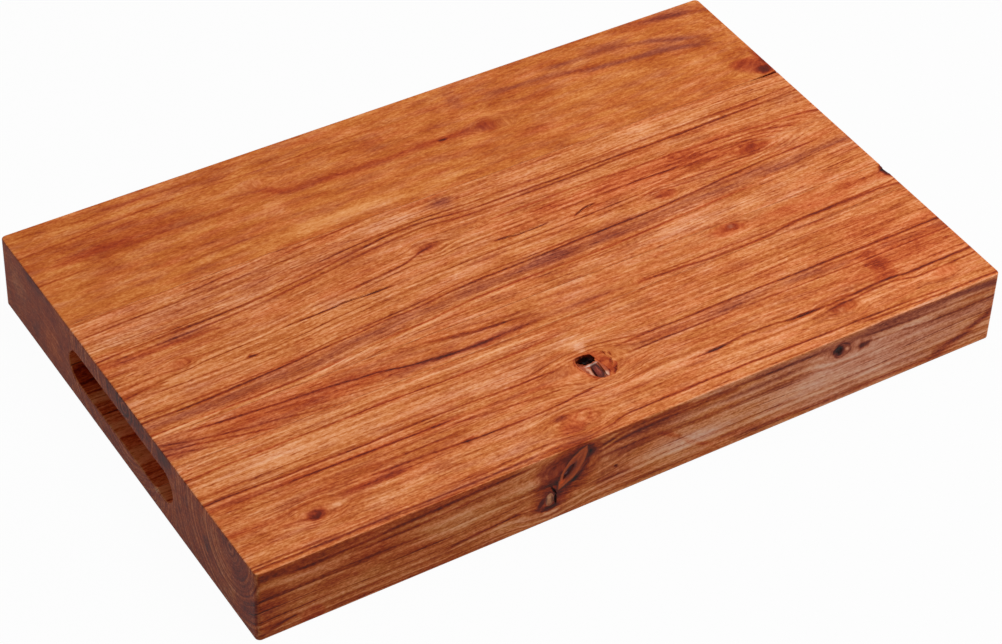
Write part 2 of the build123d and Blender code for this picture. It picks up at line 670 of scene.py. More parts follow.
@dataclass(frozen=True)
class Timber:
    """Finish of one stave: the growth rings of its tree, its knots and its marks, in millimetres."""

    name: str
    pith_y: Path
    pith_z: Path
    seed: float
    ring_width: float = 3.6
    ring_dark: float = 0.45
    fine_dark: float = 0.6
    fibre_dark: float = 0.75
    speck_dark: float = 0.85
    pore_dark: float = 0.25
    cloud_dark: float = 0.65
    tone: float = 0.36
    ruddy: float = 0.25
    knots: tuple[Knot, ...] = ()
    streaks: tuple[Streak, ...] = ()
    patches: tuple[Patch, ...] = ()
    end_patches: tuple[Patch, ...] = ()
    grip_patches: tuple[Patch, ...] = ()
    palette: Palette = Palette()

    def material(self) -> bpy.types.Material:
        """Builds the shader.

        Returns:
            The material of the stave.
        """
        shader = Shader(self.name)
        tone = Tone()
        place = shader.scaled(shader.node("ShaderNodeTexCoord", output="Object"), 1 / MM)
        ragged = shader.wander(place, RAGGED, RAGGED_REACH, self.seed)
        wavy = shader.wander(place, WAVY, WAVY_REACH, self.seed)
        facing = [abs(part) for part in shader.split(shader.node("ShaderNodeTexCoord", output="Normal"))]
        grip = self._add_grips(shader, place, tone)
        self._add_patches(shader, self.grip_patches, ragged, tone, grip)
        self._add_patches(shader, self.patches, ragged, tone)
        end = self._add_end_grain_and_arris_highlight(shader, facing, tone)
        self._add_patches(shader, self.end_patches, ragged, tone, end)
        side = shader.step(facing[1], *SIDE_FACING) * (1 - grip)
        bold = end * END_BOLD + grip * GRIP_BOLD + side * SIDE_BOLD
        wood = self._part_round_knots(shader, place, ragged, tone)
        radius = self._growth(shader, wood)
        fibre = self._figure(shader, wood, radius, bold, tone)
        self._add_streaks(shader, wavy, facing, fibre, tone)
        colour = self.palette.shade(shader, tone)
        # The grips' walls are multiplied by their painted bounce light.
        shader.give("Base Color", shader.mix(grip, colour, GRIP_BOUNCE_LIGHT, "MULTIPLY"))
        shader.emboss(fibre, strength=0.3, distance=0.0003)
        shader.give("Roughness", fibre * FIBRE_ROUGHNESS + end * END_ROUGHNESS + WOOD_ROUGHNESS)
        shader.give("Coat Weight", end * END_SHEEN)
        shader.give("Coat Roughness", SHEEN_ROUGHNESS)
        shader.give("Specular IOR Level", SPECULAR)
        return shader.material

    def _part_round_knots(self, shader: Shader, place: Value, ragged: Value, tone: Tone) -> Value:
        """Parts the grain round the knots.

        Args:
            shader: The shader that gets the nodes.
            place: Coordinates in the wood, in millimetres.
            ragged: The same, uneven.
            tone: Gets the tint of the knots.

        Returns:
            Coordinates in which the grain is straight.
        """
        wood = place
        for knot in self.knots:
            x, across = knot.place
            wide = PARTING_WIDTH * knot.radius
            long = PARTING_LENGTH * wide
            if knot.face is Face.TOP:
                centre = (x, across, BOARD_TOP)
                size = (long, wide, PARTING_DEPTH)
                push = (0.0, PARTING_PUSH, 0.0)
            else:
                centre = (x, BOARD_FRONT, across)
                size = (long, PARTING_DEPTH, wide)
                push = (0.0, 0.0, PARTING_PUSH)
            distance = shader.spread(ragged, centre, size)
            away = shader.vector("MULTIPLY", shader.vector("SUBTRACT", place, centre), push)
            parting = shader.scaled(away, shader.step(distance, 1.0, PARTING_CORE))
            wood = shader.vector("SUBTRACT", wood, parting)
            tone.add(shader.step(distance, PARTING_STAIN, PARTING_CORE), knot.tint)
        return wood

    def _growth(self, shader: Shader, wood: Value) -> Value:
        """The radius at which each point of the wood grew.

        Args:
            shader: The shader that gets the nodes.
            wood: Coordinates in the wood, in millimetres.

        Returns:
            The radius.
        """
        x, y, z = shader.split(wood)
        along = x / BOARD_LENGTH + 0.5
        sway_y, sway_z, sway_r = shader.split(shader.layer(wood, SWAY, self.seed, "Color"))
        ripple = shader.layer(wood, RIPPLE, self.seed)
        off_y = y - self.pith_y.shade(shader, along) + (sway_y - 0.5) * PITH_SWAY
        off_z = z - self.pith_z.shade(shader, along) + (sway_z - 0.5) * PITH_SWAY
        radius = shader.math("SQRT", off_y * off_y + off_z * off_z)
        return radius + (ripple - 0.5) * RING_RIPPLE + (sway_r - 0.5) * RING_SWAY

    def _figure(self, shader: Shader, wood: Value, radius: Value, bold: Value, tone: Tone) -> Value:
        """Rings, fibres and pores.

        Args:
            shader: The shader that gets the nodes.
            wood: Coordinates in the wood, in millimetres.
            radius: Radius of growth.
            bold: Above 0 where the rings show more than on the top.
            tone: Gets the tone of the figure.

        Returns:
            The fibres, from 0 to 1.
        """
        x, y, z = shader.split(wood)
        thread = shader.combine(x * FIBRE_ALONG, radius * FIBRE_ACROSS, (y - z) * FIBRE_ASIDE)
        fibre = shader.noise(thread, FIBRE_DETAIL, FIBRE_ROUGH)
        speck, pore, fade, cloud, hue, cast = (
            shader.layer(wood, layer, self.seed) for layer in (SPECK, PORE, FADE, CLOUD, HUE, CAST)
        )
        width = shader.noise_along(radius * (WIDTH_RATE / self.ring_width), self.seed + WIDTH_SHIFT)
        rings = radius / self.ring_width + width * WIDTH_REACH + (fibre - 0.5) * RING_RAGGED
        ring = shader.math("FLOOR", rings)
        age = rings - ring
        draw = {"W": ring + self.seed}
        chance = shader.node("ShaderNodeTexWhiteNoise", {"noise_dimensions": "1D"}, draw, "Value")
        late = shader.step(age, *LATE_START) * shader.step(age, *LATE_END)
        line = late * shader.step(chance, *RING_CHANCE) * shader.step(fade, *RING_FADE)
        fine = shader.noise_along(radius * FINE_RATE, self.seed + FINE_SHIFT, FINE_DETAIL)
        tone.dark = (
            tone.dark
            + line * self.ring_dark * (bold + 1)
            + (fine - 0.5) * self.fine_dark * (bold + 1)
            + (fibre - 0.5) * self.fibre_dark
            + (speck - 0.5) * self.speck_dark * (bold * SPECK_BOLD + 1)
            + shader.step(pore, *PORE_LEVEL) * self.pore_dark
            + (cloud - 0.5) * self.cloud_dark
            + self.tone
        )
        tone.ruddy = tone.ruddy + (hue - 0.5) * HUE_REACH + self.ruddy
        tone.plum = tone.plum + (cast - 0.5) * CAST_REACH + CAST_LEVEL
        return fibre

    def _add_streaks(
        self, shader: Shader, wavy: Value, facing: Sequence[Value], fibre: Value, tone: Tone
    ) -> None:
        """Adds the streaks along the grain.

        Args:
            shader: The shader that gets the nodes.
            wavy: Coordinates in the wood, a little uneven.
            facing: How far the surface faces along each axis.
            fibre: The fibres, which break the streaks up.
            tone: Gets the tint of the streaks.
        """
        if not self.streaks:
            return
        x, y, z = shader.split(wavy)
        along = x / BOARD_LENGTH + 0.5
        across = {Face.TOP: y, Face.FRONT: z}
        near_top = shader.step(z, BOARD_TOP - STREAK_DEEP, BOARD_TOP - STREAK_SHALLOW)
        near_front = shader.step(y, BOARD_FRONT + STREAK_DEEP, BOARD_FRONT + STREAK_SHALLOW)
        skin = {
            Face.TOP: near_top * shader.step(facing[2], *TOP_FACING),
            Face.FRONT: near_front * shader.step(facing[1], *SIDE_FACING),
        }
        gaps = shader.step(fibre, *STREAK_GAPS)
        for streak in self.streaks:
            path = Path(streak.points)
            distance = abs(across[streak.face] - path.shade(shader, along))
            begin = -BOARD_LENGTH if path.start <= -BOARD_LENGTH / 2 else path.start
            finish = BOARD_LENGTH if path.end >= BOARD_LENGTH / 2 else path.end
            ends = shader.step(x, begin, begin + streak.fade) * shader.step(x, finish, finish - streak.fade)
            mask = shader.step(distance, STREAK_SOFT * streak.width, 0.0) * ends * skin[streak.face]
            tone.add(mask * (gaps * streak.broken + (1 - streak.broken)), streak.tint)

    def _add_patches(
        self, shader: Shader, patches: Sequence[Patch], ragged: Value, tone: Tone, where: Number = 1.0
    ) -> None:
        """Adds patches of another tone.

        Args:
            shader: The shader that gets the nodes.
            patches: The patches.
            ragged: Coordinates in the wood, uneven.
            tone: Gets the tint of the patches.
            where: 1 on the faces that they show on.
        """
        frames = {UNTURNED: ragged}
        for patch in patches:
            turn = Euler([math.radians(angle) for angle in patch.turn]).to_matrix()
            if patch.turn not in frames:
                frames[patch.turn] = shader.turned(ragged, turn)
            centre = turn.transposed() @ Vector(patch.place)
            distance = shader.spread(frames[patch.turn], centre, patch.size)
            mask = shader.step(distance, 1.0, patch.core)
            if patch.hollow:
                mask = mask * shader.step(distance, patch.hollow - RING_EDGE, patch.hollow + RING_EDGE)
            tone.add(mask if where == 1.0 else mask * where, patch.tint)

    def _add_grips(self, shader: Shader, place: Value, tone: Tone) -> Value:
        """Paints light on the walls of the finger grips: makes them redder, as light thrown from wall to
        wall there would.

        Args:
            shader: The shader that gets the nodes.
            place: Coordinates in the wood, in millimetres.
            tone: Gets the tint of the walls.

        Returns:
            1 on the walls of the grips and 0 elsewhere.
        """
        x, y, z = shader.split(place)
        end = BOARD_LENGTH / 2
        reach = GRIP_LENGTH / 2
        rise = GRIP_HEIGHT / 2
        inside = shader.step(abs(x), *(end - margin for margin in GRIP_RIM))
        along = shader.step(abs(y - GRIP_TO_REAR), *(reach + margin for margin in GRIP_ENDS))
        upright = shader.step(abs(z - BOARD_TOP / 2), *(rise + margin for margin in GRIP_SIDES))
        wall = inside * along * upright
        tone.add(wall, GRIP_BOUNCE_TINT)
        return wall

    def _add_end_grain_and_arris_highlight(self, shader: Shader, facing: Sequence[Value], tone: Tone) -> Value:
        """Makes the ends of the board darker, as cut fibres drink more oil, and paints a highlight on the
        arrises by making them paler.

        Args:
            shader: The shader that gets the nodes.
            facing: How far the surface faces along each axis.
            tone: Gets the tint of the end grain.

        Returns:
            1 on the ends and 0 elsewhere.
        """
        end = shader.step(facing[0], *END_FACING)
        tone.add(end, END_TINT)
        # Painted highlight: the rounded arrises, which face no axis squarely, are made paler.
        squarest = shader.math("MAXIMUM", shader.math("MAXIMUM", facing[0], facing[1]), facing[2])
        tone.add(shader.step(squarest, *ARRIS_FACING), ARRIS_HIGHLIGHT_TINT)
        return end


@dataclass(frozen=True)
class Spot:
    """A soft oval, or a leaf if pointed, of one colour on a knot, in millimetres and degrees."""

    place: tuple[float, float]
    size: tuple[float, float]
    colour: Rgba
    turn: float = 0.0
    core: float = 0.5
    pointed: bool = False


@dataclass(frozen=True)
class KnotFinish:
    """Finish of a dead knot: spots of colour with uneven edges on its face, in millimetres."""

    name: str
    face: Face
    ground: Rgba
    spots: tuple[Spot, ...]
    uneven: float = 2.2
    speck: float = 0.45
    roughness: float = 0.35
    grain_roughness: float = 0.3

    def material(self) -> bpy.types.Material:
        """Builds the shader.

        Returns:
            The material of the knot.
        """
        shader = Shader(self.name)
        place = shader.scaled(shader.node("ShaderNodeTexCoord", output="Object"), 1 / MM)
        x, y, z = shader.split(shader.wander(place, KNOT_BENDS, self.uneven))
        across = y if self.face is Face.TOP else z
        colour: Any = self.ground
        for spot in self.spots:
            colour = shader.mix(self._mask(shader, spot, x, across), colour, spot.colour)
        grain = shader.layer(place, KNOT_GRAIN)
        level = grain + self.speck
        speck = shader.node("ShaderNodeCombineColor", None, {0: level, 1: level, 2: level})
        shader.give("Base Color", shader.mix(1.0, colour, speck, "MULTIPLY"))
        shader.emboss(grain, strength=0.4, distance=0.0004)
        shader.give("Roughness", grain * self.grain_roughness + self.roughness)
        shader.give("Specular IOR Level", SPECULAR)
        return shader.material

    def _mask(self, shader: Shader, spot: Spot, x: Value, across: Value) -> Value:
        """Where a spot is.

        Args:
            shader: The shader that gets the nodes.
            spot: The spot.
            x: Place along the board, in millimetres.
            across: Place across the face.

        Returns:
            1 inside the spot and 0 outside.
        """
        turn = math.radians(spot.turn)
        off_x = x - spot.place[0]
        off_y = across - spot.place[1]
        along = (off_x * math.cos(turn) + off_y * math.sin(turn)) / spot.size[0]
        aside = (off_y * math.cos(turn) - off_x * math.sin(turn)) / spot.size[1]
        if spot.pointed:
            distance = along * along + abs(aside)
        else:
            distance = shader.math("SQRT", along * along + aside * aside)
        return shader.step(distance, 1.0, spot.core)


@dataclass(frozen=True)
class PlainFinish:
    """An even finish with paler flecks, for the glue."""

    name: str
    colour: Rgba
    fleck: Rgba
    roughness: float = 0.4
    grain_roughness: float = 0.2

    def material(self) -> bpy.types.Material:
        """Builds the shader.

        Returns:
            The material.
        """
        shader = Shader(self.name)
        place = shader.node("ShaderNodeTexCoord", output="Object")
        grain = shader.layer(place, GLUE_GRAIN)
        flecks = shader.step(grain, *FLECK_LEVEL)
        shader.give("Base Color", shader.mix(flecks, self.colour, self.fleck))
        shader.give("Roughness", grain * self.grain_roughness + self.roughness)
        shader.give("Specular IOR Level", SPECULAR)
        return shader.material


# A more golden wood, for the rear stave.
GOLDEN = Palette(
    warm=(
        srgb(238, 184, 128),
        srgb(229, 158, 100),
        srgb(211, 130, 66),
        srgb(194, 107, 44),
        srgb(170, 79, 24),
        srgb(147, 57, 13),
        srgb(110, 34, 6),
        srgb(24, 9, 6),
    ),
)

# Tints of the marks.
DARK = Tint(0.55, 0.45)
LINE = Tint(0.38, 0.35)
FAINT = Tint(0.22, 0.25)
ORANGE_LINE = Tint(0.3, 0.9, -0.2)
PLUM_BAND = Tint(0.2, -0.1, 0.7)
RED_BAND = Tint(0.22, 0.7)
PALE = Tint(-0.2, -0.4, -0.1)
CRACK = Tint(0.95, 0.2, 0.3)

# Marks that two staves share: the open joint at the right end, and the chip at the rim of the grip, paler
# as fresh wood and with a painted highlight.
JOINT_MARK = Patch((218, 61.5, TOP), (11, 1.2, 5), Tint(0.8, 0.2, 0.3), core=0.3)
CHIP_AND_HIGHLIGHT_MARK = Patch((LEFT, -37, 11.6), (2.2, 2.2, 1.6), Tint(-0.8, -0.5, 0.6), core=0.5)

# Marks of the front stave round the dead knot of its top and the two dead knots of its edge.
TOP_KNOT_MARKS = (
    Patch((-3.8, -99, TOP), (12, 14.5, 14), Tint(0.14, 1.1, -0.4), core=0.4),
    Patch((-3.6, -83.5, TOP), (5.5, 5, 6), Tint(-0.3, -0.5, 0.5), core=0.3),
    Patch((-6, -99, TOP), (6.6, 11.8, 12), Tint(0.25, 0.0, 0.4), (0, 0, 21), core=0.9, hollow=0.85),
    Patch((5, -92.5, TOP), (1.3, 2.6, 4), Tint(0.3, 0.4), core=0.3),
    Patch((7.4, -94.5, TOP), (1.1, 2.4, 4), Tint(0.25, 0.8), core=0.3),
    Patch((5.2, -100, TOP), (1.0, 3.4, 4), Tint(0.4, 0.4), (0, 0, -25), core=0.3),
    Patch((3.6, -106.5, TOP), (1.0, 4.6, 4), Tint(0.35, 0.6), (0, 0, -42), core=0.3),
    Patch((2.4, -101, TOP), (4.6, 6, 5), Tint(0.12, 0.9), core=0.9, hollow=0.6),
    # Painted shade: the inside of the void of the knot is made nearly black.
    Patch((-5.5, -92.8, 42), (9, 7, 5.5), Tint(1.1, -0.4, 1.0), core=0.45),
)
EYE_MARKS = (
    Patch((-46, FRONT, 32), (8.6, 9, 17), Tint(0.3, 0.6), (0, 35, 0), core=0.6, hollow=0.5),
    Patch((-43.6, FRONT, 31.6), (8.2, 9, 16), Tint(0.42, 0.4, 0.4), (0, 35, 0), core=0.6, hollow=0.6),
    Patch((-48, FRONT, 31), (23, 12, 29), Tint(0.55, 0.6, 0.1), (0, 35, 0), core=0.3),
    Patch((-34, FRONT, 37), (5, 8, 5), Tint(0.3, 0.0, 0.6), core=0.2),
)
PIN_MARKS = (
    Patch((-58.5, FRONT, 12.6), (15, 9, 12), Tint(0.3, 0.5, 0.2), core=0.3),
    Patch((-58.5, FRONT, 9.2), (6.8, 8, 2.6), Tint(0.5, 1.4, -0.4), (0, -6, 0), core=0.5),
    Patch((-58.5, FRONT, 5.8), (8, 8, 1.5), Tint(-0.35, -0.2), (0, -4, 0), core=0.3),
    Patch((-63.6, FRONT, 14.4), (2.4, 8, 5), Tint(0.4, 0.0, 0.6), (0, 25, 0), core=0.3),
    Patch((-55.2, FRONT, 14), (1.3, 8, 4.2), Tint(0.8, 0.0, 0.3), (0, -4, 0), core=0.3),
    Patch((-56.6, FRONT, 21), (1.1, 8, 5), Tint(0.35, 0.0, 0.3), (0, -28, 0), core=0.3),
    Patch((-63, FRONT, 33), (8, 8, 13), Tint(0.16, 0.2, 0.2), (0, -24, 0), core=0.2),
)

# Rings of the wide stave round its right knot: their centre, and their shape in shares of their reach.
OVAL_CENTRE = (172, 11)
OVAL_SHAPE = ((-1.9, 0.08), (-1.0, 0.2), (0.0, 0.24), (0.5, 0.16))
OVAL_TIP = 0.8


def oval_ring(reach: float, side: int) -> Streak:
    """One side of a growth ring round a knot that is cut lengthwise.

    Args:
        reach: How far the ring reaches from the knot, in millimetres.
        side: 1 for the line behind the knot and -1 for the line in front of it.

    Returns:
        The line.
    """
    x, y = OVAL_CENTRE
    points = [(x + along * reach, y + side * across * reach) for along, across in OVAL_SHAPE]
    tip = (x + OVAL_TIP * reach, y + 1)
    return Streak((*points, tip), 0.8, Tint(0.24, 0.6), fade=6)


OVAL_RINGS = tuple(oval_ring(reach, side) for reach in (15, 24, 34, 45) for side in (-1, 1))

# Walls of the grips: golden and dark red stripes right through the board, and painted shade at the ends of
# the grips, which show only on those walls.
GOLD_STRIPE = Tint(-0.14, -1.6, -0.9)
RED_STRIPE = Tint(0.2, 1.0, -0.4)
THROUGH = 3000.0
WIDE_GRIP_MARKS = (
    *(Patch((0, y, 12), (THROUGH, 6, 7), GOLD_STRIPE, core=0.2) for y in (38, 13, -9)),
    *(Patch((0, y, 12), (THROUGH, 5.5, 7), RED_STRIPE, core=0.2) for y in (28, 2, -24)),
    # Painted shade at the far end of the grips, partly also a dark band of the wood.
    Patch((0, 58, 20), (THROUGH, 18, 24), Tint(0.6, 1.0), core=0.5),
)
NARROW_GRIP_MARKS = (
    Patch((0, -42, 12), (THROUGH, 5, 7), GOLD_STRIPE, core=0.4),
    # Painted shade at the near end of the grips.
    Patch((0, -55, 18), (THROUGH, 8, 20), Tint(0.4, 1.0, -0.4), core=0.4),
)

REAR_TIMBER = Timber(
    "rear_timber",
    Path(((LEFT, 96), (0, 104), (RIGHT, 92))),
    Path(((LEFT, -60), (-60, -64), (120, -58), (RIGHT, -70))),
    seed=1.0,
    ring_width=4.0,
    ring_dark=0.15,
    fine_dark=0.25,
    fibre_dark=0.5,
    speck_dark=0.7,
    pore_dark=0.15,
    tone=0.41,
    ruddy=0.2,
    palette=GOLDEN,
    knots=(
        Knot((-86, 117), 4.0),
        Knot((53, 100), 5.0),
        Knot((63, 97), 2.5, Tint(-0.1)),
        Knot((222, 68), 7.0, Tint(0.0, 0.3)),
    ),
    streaks=(
        Streak(((LEFT, 121.5), (-190, 124), (-165, 126.5), (-60, 127.5), (0, 128)), 0.9, FAINT),
        Streak(((-180, 137), (-110, 136.5)), 1.6, FAINT),
        Streak(((LEFT, 96.5), (-210, 97), (-190, 98.5)), 0.9, LINE),
        Streak(((-180, 104), (-150, 104.5), (-120, 104), (-90, 105)), 1.8, FAINT),
        Streak(
            ((-97, 119), (-80, 108), (-65, 102), (-30, 101.5), (0, 101), (30, 101.5), (60, 99)),
            4.0,
            RED_BAND,
        ),
        Streak(((-165, 75), (-120, 77.5), (-90, 78)), 1.0, FAINT),
        Streak(((60, 125), (110, 121), (135, 115), (180, 110), (205, 104), (218, 101)), 3.2, PLUM_BAND),
        Streak(((100, 128), (150, 126), (190, 117), (212, 108)), 3.2, PLUM_BAND),
        Streak(((165, 142), (195, 138), (RIGHT, 132)), 3.0, Tint(0.25, 0.2, 0.3)),
    ),
    patches=(
        Patch((-175, 112, TOP), (65, 18, 15), Tint(0.1, 0.4)),
        Patch((-192, 108, TOP), (22, 6, 10), Tint(0.1, 0.3)),
        Patch((-110, 136, TOP), (28, 9, 10), Tint(0.1, 0.0, 0.2)),
        Patch((-50, 71, TOP), (120, 9, 15), Tint(-0.18, -0.5, -0.1)),
        Patch((-86, 91, TOP), (10, 10, 8), Tint(-0.14)),
        Patch((48, 130, TOP), (8, 18, 8), Tint(0.08, 0.0, 0.4)),
        Patch((52, 100, TOP), (8, 12, 8), Tint(0.18, 0.4)),
        Patch((66, 116, TOP), (7, 7, 6), Tint(0.12, 0.2)),
        Patch((72, 84, TOP), (18, 12, 8), Tint(0.08, 0.2)),
        Patch((140, 95, TOP), (60, 18, 15), Tint(-0.04, -0.4)),
        Patch((150, 130, TOP), (22, 5, 8), Tint(0.1, 0.0, 0.4)),
        Patch((198, 138, TOP), (28, 7, 8), Tint(0.18, 0.1, 0.4)),
        Patch((190, 113, TOP), (30, 8, 8), Tint(0.12, 0.0, 0.5), (0, 0, -12)),
        Patch((216, 73, TOP), (17, 10, 10), Tint(0.3, 1.2, -0.2), (0, 0, -28), core=0.3),
        Patch((220, 67, TOP), (8, 5, 9), Tint(0.5, 0.6), core=0.3),
        Patch((224.5, 78, TOP), (4, 12, 9), Tint(0.35, 0.9), (0, 0, 8)),
        JOINT_MARK,
        Patch((24, 101, TOP), (4, 1.5, 5), DARK),
    ),
    end_patches=(
        Patch((LEFT, 124, 26), (30, 15, 18), Tint(-0.2, -0.2, 0.4)),
        Patch((LEFT, 84, 16), (30, 15, 20), Tint(-0.14, 1.0, -0.5)),
        Patch((LEFT, 100, 44), (30, 30, 8), Tint(0.2, 0.0, 0.4)),
        Patch((LEFT, 103, 12), (30, 6, 12), Tint(0.16, 0.0, 0.5), (20, 0, 0)),
    ),
)
WIDE_TIMBER = Timber(
    "wide_timber",
    Path(((LEFT, -4), (-150, -1), (-90, 6), (-40, 10), (60, 11), (220, 14))),
    Path(((LEFT, 42), (-90, 45), (60, 44.5), (125, 41.5), (178, 36.5), (RIGHT, 31))),
    seed=2.0,
    knots=(
        Knot((-31, 24), 4.5),
        Knot((129, 25), 3.0),
        Knot((106, 0), 3.6),
        Knot((-187, 7), 3.0),
        Knot((168, 11), 4.0),
    ),
    streaks=(
        Streak(
            (
                (LEFT, 25.5), (-150, 27), (-100, 32), (-50, 38.5),
                (-30, 40), (0, 37.5), (60, 38), (120, 38.5),
            ),
            1.1,
            LINE,
        ),
        Streak(
            (
                (LEFT, 27.5), (-185, 30.5), (-150, 31), (-100, 35.5),
                (-55, 42), (-30, 44.5), (0, 41.5), (RIGHT, 42),
            ),
            1.1,
            DARK,
        ),
        Streak(((-90, 42), (-60, 45), (-30, 47), (0, 46), (100, 45.5), (RIGHT, 46.5)), 0.9, LINE),
        Streak(((LEFT, 48), (-190, 50), (-120, 52), (-85, 53)), 1.0, LINE),
        Streak(((-110, 57), (-70, 60), (-40, 62)), 1.0, LINE),
        Streak(((0, 27), (60, 29), (100, 27.5), (150, 26), (190, 24.5), (RIGHT, 20.5)), 1.0, ORANGE_LINE),
        Streak(((-130, 5.5), (-97, 6.5), (-90, 7.5), (-75, 7), (-55, 7.5)), 0.9, CRACK, broken=0.2),
        Streak(((-190, 7), (-165, 7.5), (-150, 7.5)), 1.2, LINE),
        Streak(((-90, 14), (-60, 16.5), (-45, 19.5), (-36, 23), (-22, 26)), 1.1, DARK),
        Streak(((0, 12), (12, 11), (20, 10), (38, 10.5)), 1.0, CRACK, fade=6),
        Streak(((50, 7), (57, 10), (63, 12), (70, 12.5)), 1.0, CRACK, fade=5),
        Streak(((LEFT, -3.5), (-210, -2), (-195, 1)), 1.3, LINE),
        Streak(((LEFT, -19.5), (-160, -20), (-110, -15.5), (-60, -12), (-20, -8.5), (60, -8)), 0.8, LINE),
        Streak(
            (
                (LEFT, -23.5), (-160, -22), (-110, -18), (-60, -14.5), (-30, -12),
                (20, -10.5), (100, -8), (160, -3), (215, -1),
            ),
            1.0,
            DARK,
        ),
        Streak(
            (
                (LEFT, -28), (-160, -27), (-110, -23.5), (-60, -20),
                (-20, -16.5), (50, -15), (120, -11.5), (RIGHT, -9),
            ),
            6.0,
            PLUM_BAND,
        ),
        Streak(
            (
                (LEFT, -33.5), (-150, -33), (-100, -29), (-60, -26.5),
                (0, -22.5), (40, -23), (100, -19.5), (160, -17),
            ),
            1.0,
            ORANGE_LINE,
        ),
        Streak(((LEFT, -35), (-140, -34), (-95, -30), (0, -25)), 1.8, PALE),
        Streak(((LEFT, 23), (-150, 22)), 3.0, RED_BAND),
        Streak(((LEFT, 37), (-170, 37), (-140, 36), (-100, 39)), 2.0, PALE),
        *OVAL_RINGS,
    ),
    patches=(
        Patch((-140, 45, TOP), (90, 20, 15), Tint(0.03, -0.2, 0.35)),
        Patch((-205, 38, TOP), (30, 8, 10), Tint(-0.06, -0.2, 0.3)),
        Patch((-40, 53, TOP), (26, 9, 8), Tint(-0.2, -0.4, 0.3)),
        Patch((-6, 53, TOP), (12, 9, 8), Tint(0.12, -0.3, 0.7)),
        Patch((120, 51, TOP), (120, 9, 10), Tint(-0.13, -0.4)),
        Patch((128, 53, TOP), (13, 6, 8), Tint(-0.12)),
        Patch((-31, 25, TOP), (12, 8, 8), Tint(0.2, 0.2, 0.2)),
        Patch((-178, 26, TOP), (22, 5, 8), Tint(0.1, 0.0, 0.5)),
        Patch((110, 18, TOP), (130, 16, 15), Tint(0.08, 0.7, -0.3)),
        Patch((43, 22, TOP), (13, 5, 6), Tint(0.1, 0.3)),
        Patch((132, 23, TOP), (15, 6, 6), Tint(0.1, 0.4)),
        Patch((85, 10, TOP), (32, 4, 6), Tint(0.12, 0.1, 0.2)),
        Patch((170, 10.5, TOP), (19, 3.2, 8), Tint(0.14, 0.8)),
        Patch((106, 0, TOP), (10, 6, 6), Tint(0.1, 0.6)),
        Patch((-186, 8, TOP), (15, 7, 6), Tint(0.1, 0.2)),
        Patch((-95, 8, TOP), (13, 5, 6), Tint(0.05, 0.0, 0.5)),
        Patch((-130, 0, TOP), (100, 16, 12), Tint(-0.02, -0.4, -0.2)),
        Patch((25, -16, TOP), (22, 9, 8), Tint(0.14, 0.2, 0.3)),
        Patch((105, -28, TOP), (80, 9, 10), Tint(-0.14, -0.3, 0.3)),
        Patch((-90, -31, TOP), (75, 5, 8), Tint(-0.1, -0.2, 0.2)),
        Patch((-153, -6, TOP), (5, 2, 4), DARK),
        JOINT_MARK,
        CHIP_AND_HIGHLIGHT_MARK,
    ),
    grip_patches=WIDE_GRIP_MARKS,
    end_patches=(
        Patch((LEFT, -6, 41), (30, 42, 11), Tint(0.34, -0.6, 0.6)),
        Patch((LEFT, 46, 41), (30, 12, 10), Tint(0.1, -0.3, 0.3)),
        Patch((LEFT, 20, 4), (30, 30, 8), Tint(0.06, 0.4)),
    ),
)
NARROW_TIMBER = Timber(
    "narrow_timber",
    Path(((LEFT, -8), (-150, -12), (-70, -24), (-20, -30), (RIGHT, -30))),
    Path(((LEFT, 20), (RIGHT, 16))),
    seed=3.0,
    ring_width=3.0,
    ring_dark=0.3,
    fine_dark=0.35,
    cloud_dark=0.5,
    tone=0.31,
    knots=(
        Knot((-46, -56), 2.6),
        Knot((52, -54), 2.6),
        Knot((120, -41.5), 3.8, Tint(0.15, 0.2, 0.2)),
    ),
    streaks=(
        Streak(((-216, -38.5), (-160, -43.5), (-110, -47.5), (-80, -53), (-50, -55)), 1.0, DARK),
        Streak(((LEFT, -41.5), (-196, -49), (-160, -54.5), (-125, -60)), 1.0, LINE),
        Streak(((LEFT, -46), (-189, -54), (-160, -60)), 1.0, LINE),
        Streak(((LEFT, -50), (-205, -54.5), (-190, -58.5)), 1.2, LINE),
        Streak(((-80, -38.5), (-56, -43.5), (-26, -47.5), (0, -51)), 1.6, LINE),
        Streak(((-60, -39), (-30, -42.5), (0, -46)), 0.9, FAINT),
        Streak(((-82, -54), (-45, -55), (0, -55.3)), 1.6, DARK),
        Streak(((-110, -53), (-60, -54.5), (0, -54), (48, -53.5)), 4.0, Tint(0.2, 0.3, 0.45)),
        Streak(((44, -55), (80, -56), (116, -57.8), (145, -55.5), (180, -54.5), (RIGHT, -56)), 1.3, DARK),
        Streak(((48, -53.5), (80, -53.8), (130, -54), (RIGHT, -51)), 0.9, LINE),
    ),
    patches=(
        Patch((-150, -48, TOP), (115, 15, 15), Tint(0.2, 0.7, 0.1)),
        Patch((-222, -44, TOP), (24, 15, 15), Tint(0.16, 0.1, 0.4)),
        Patch((170, -45, TOP), (65, 9, 10), Tint(0.02, 0.6, -0.3)),
        Patch((118, -42, TOP), (17, 7, 8), Tint(0.1, 1.2, -0.3)),
        # Painted highlight: a pale glint on the knot.
        Patch((121, -41, TOP), (3, 2, 8), Tint(-0.25, -0.6, 0.9)),
        Patch((RIGHT, -43, TOP), (4.5, 8, 9), Tint(0.9, 0.2, 0.3), core=0.4),
        Patch((221, -45, TOP), (8, 5, 8), Tint(0.1, 0.8)),
        CHIP_AND_HIGHLIGHT_MARK,
    ),
    grip_patches=NARROW_GRIP_MARKS,
    end_patches=(
        Patch((LEFT, -46, 41), (30, 14, 11), Tint(0.34, -0.6, 0.5)),
        Patch((LEFT, -50, 5), (30, 10, 6), Tint(0.05, 0.8, -0.4)),
    ),
)

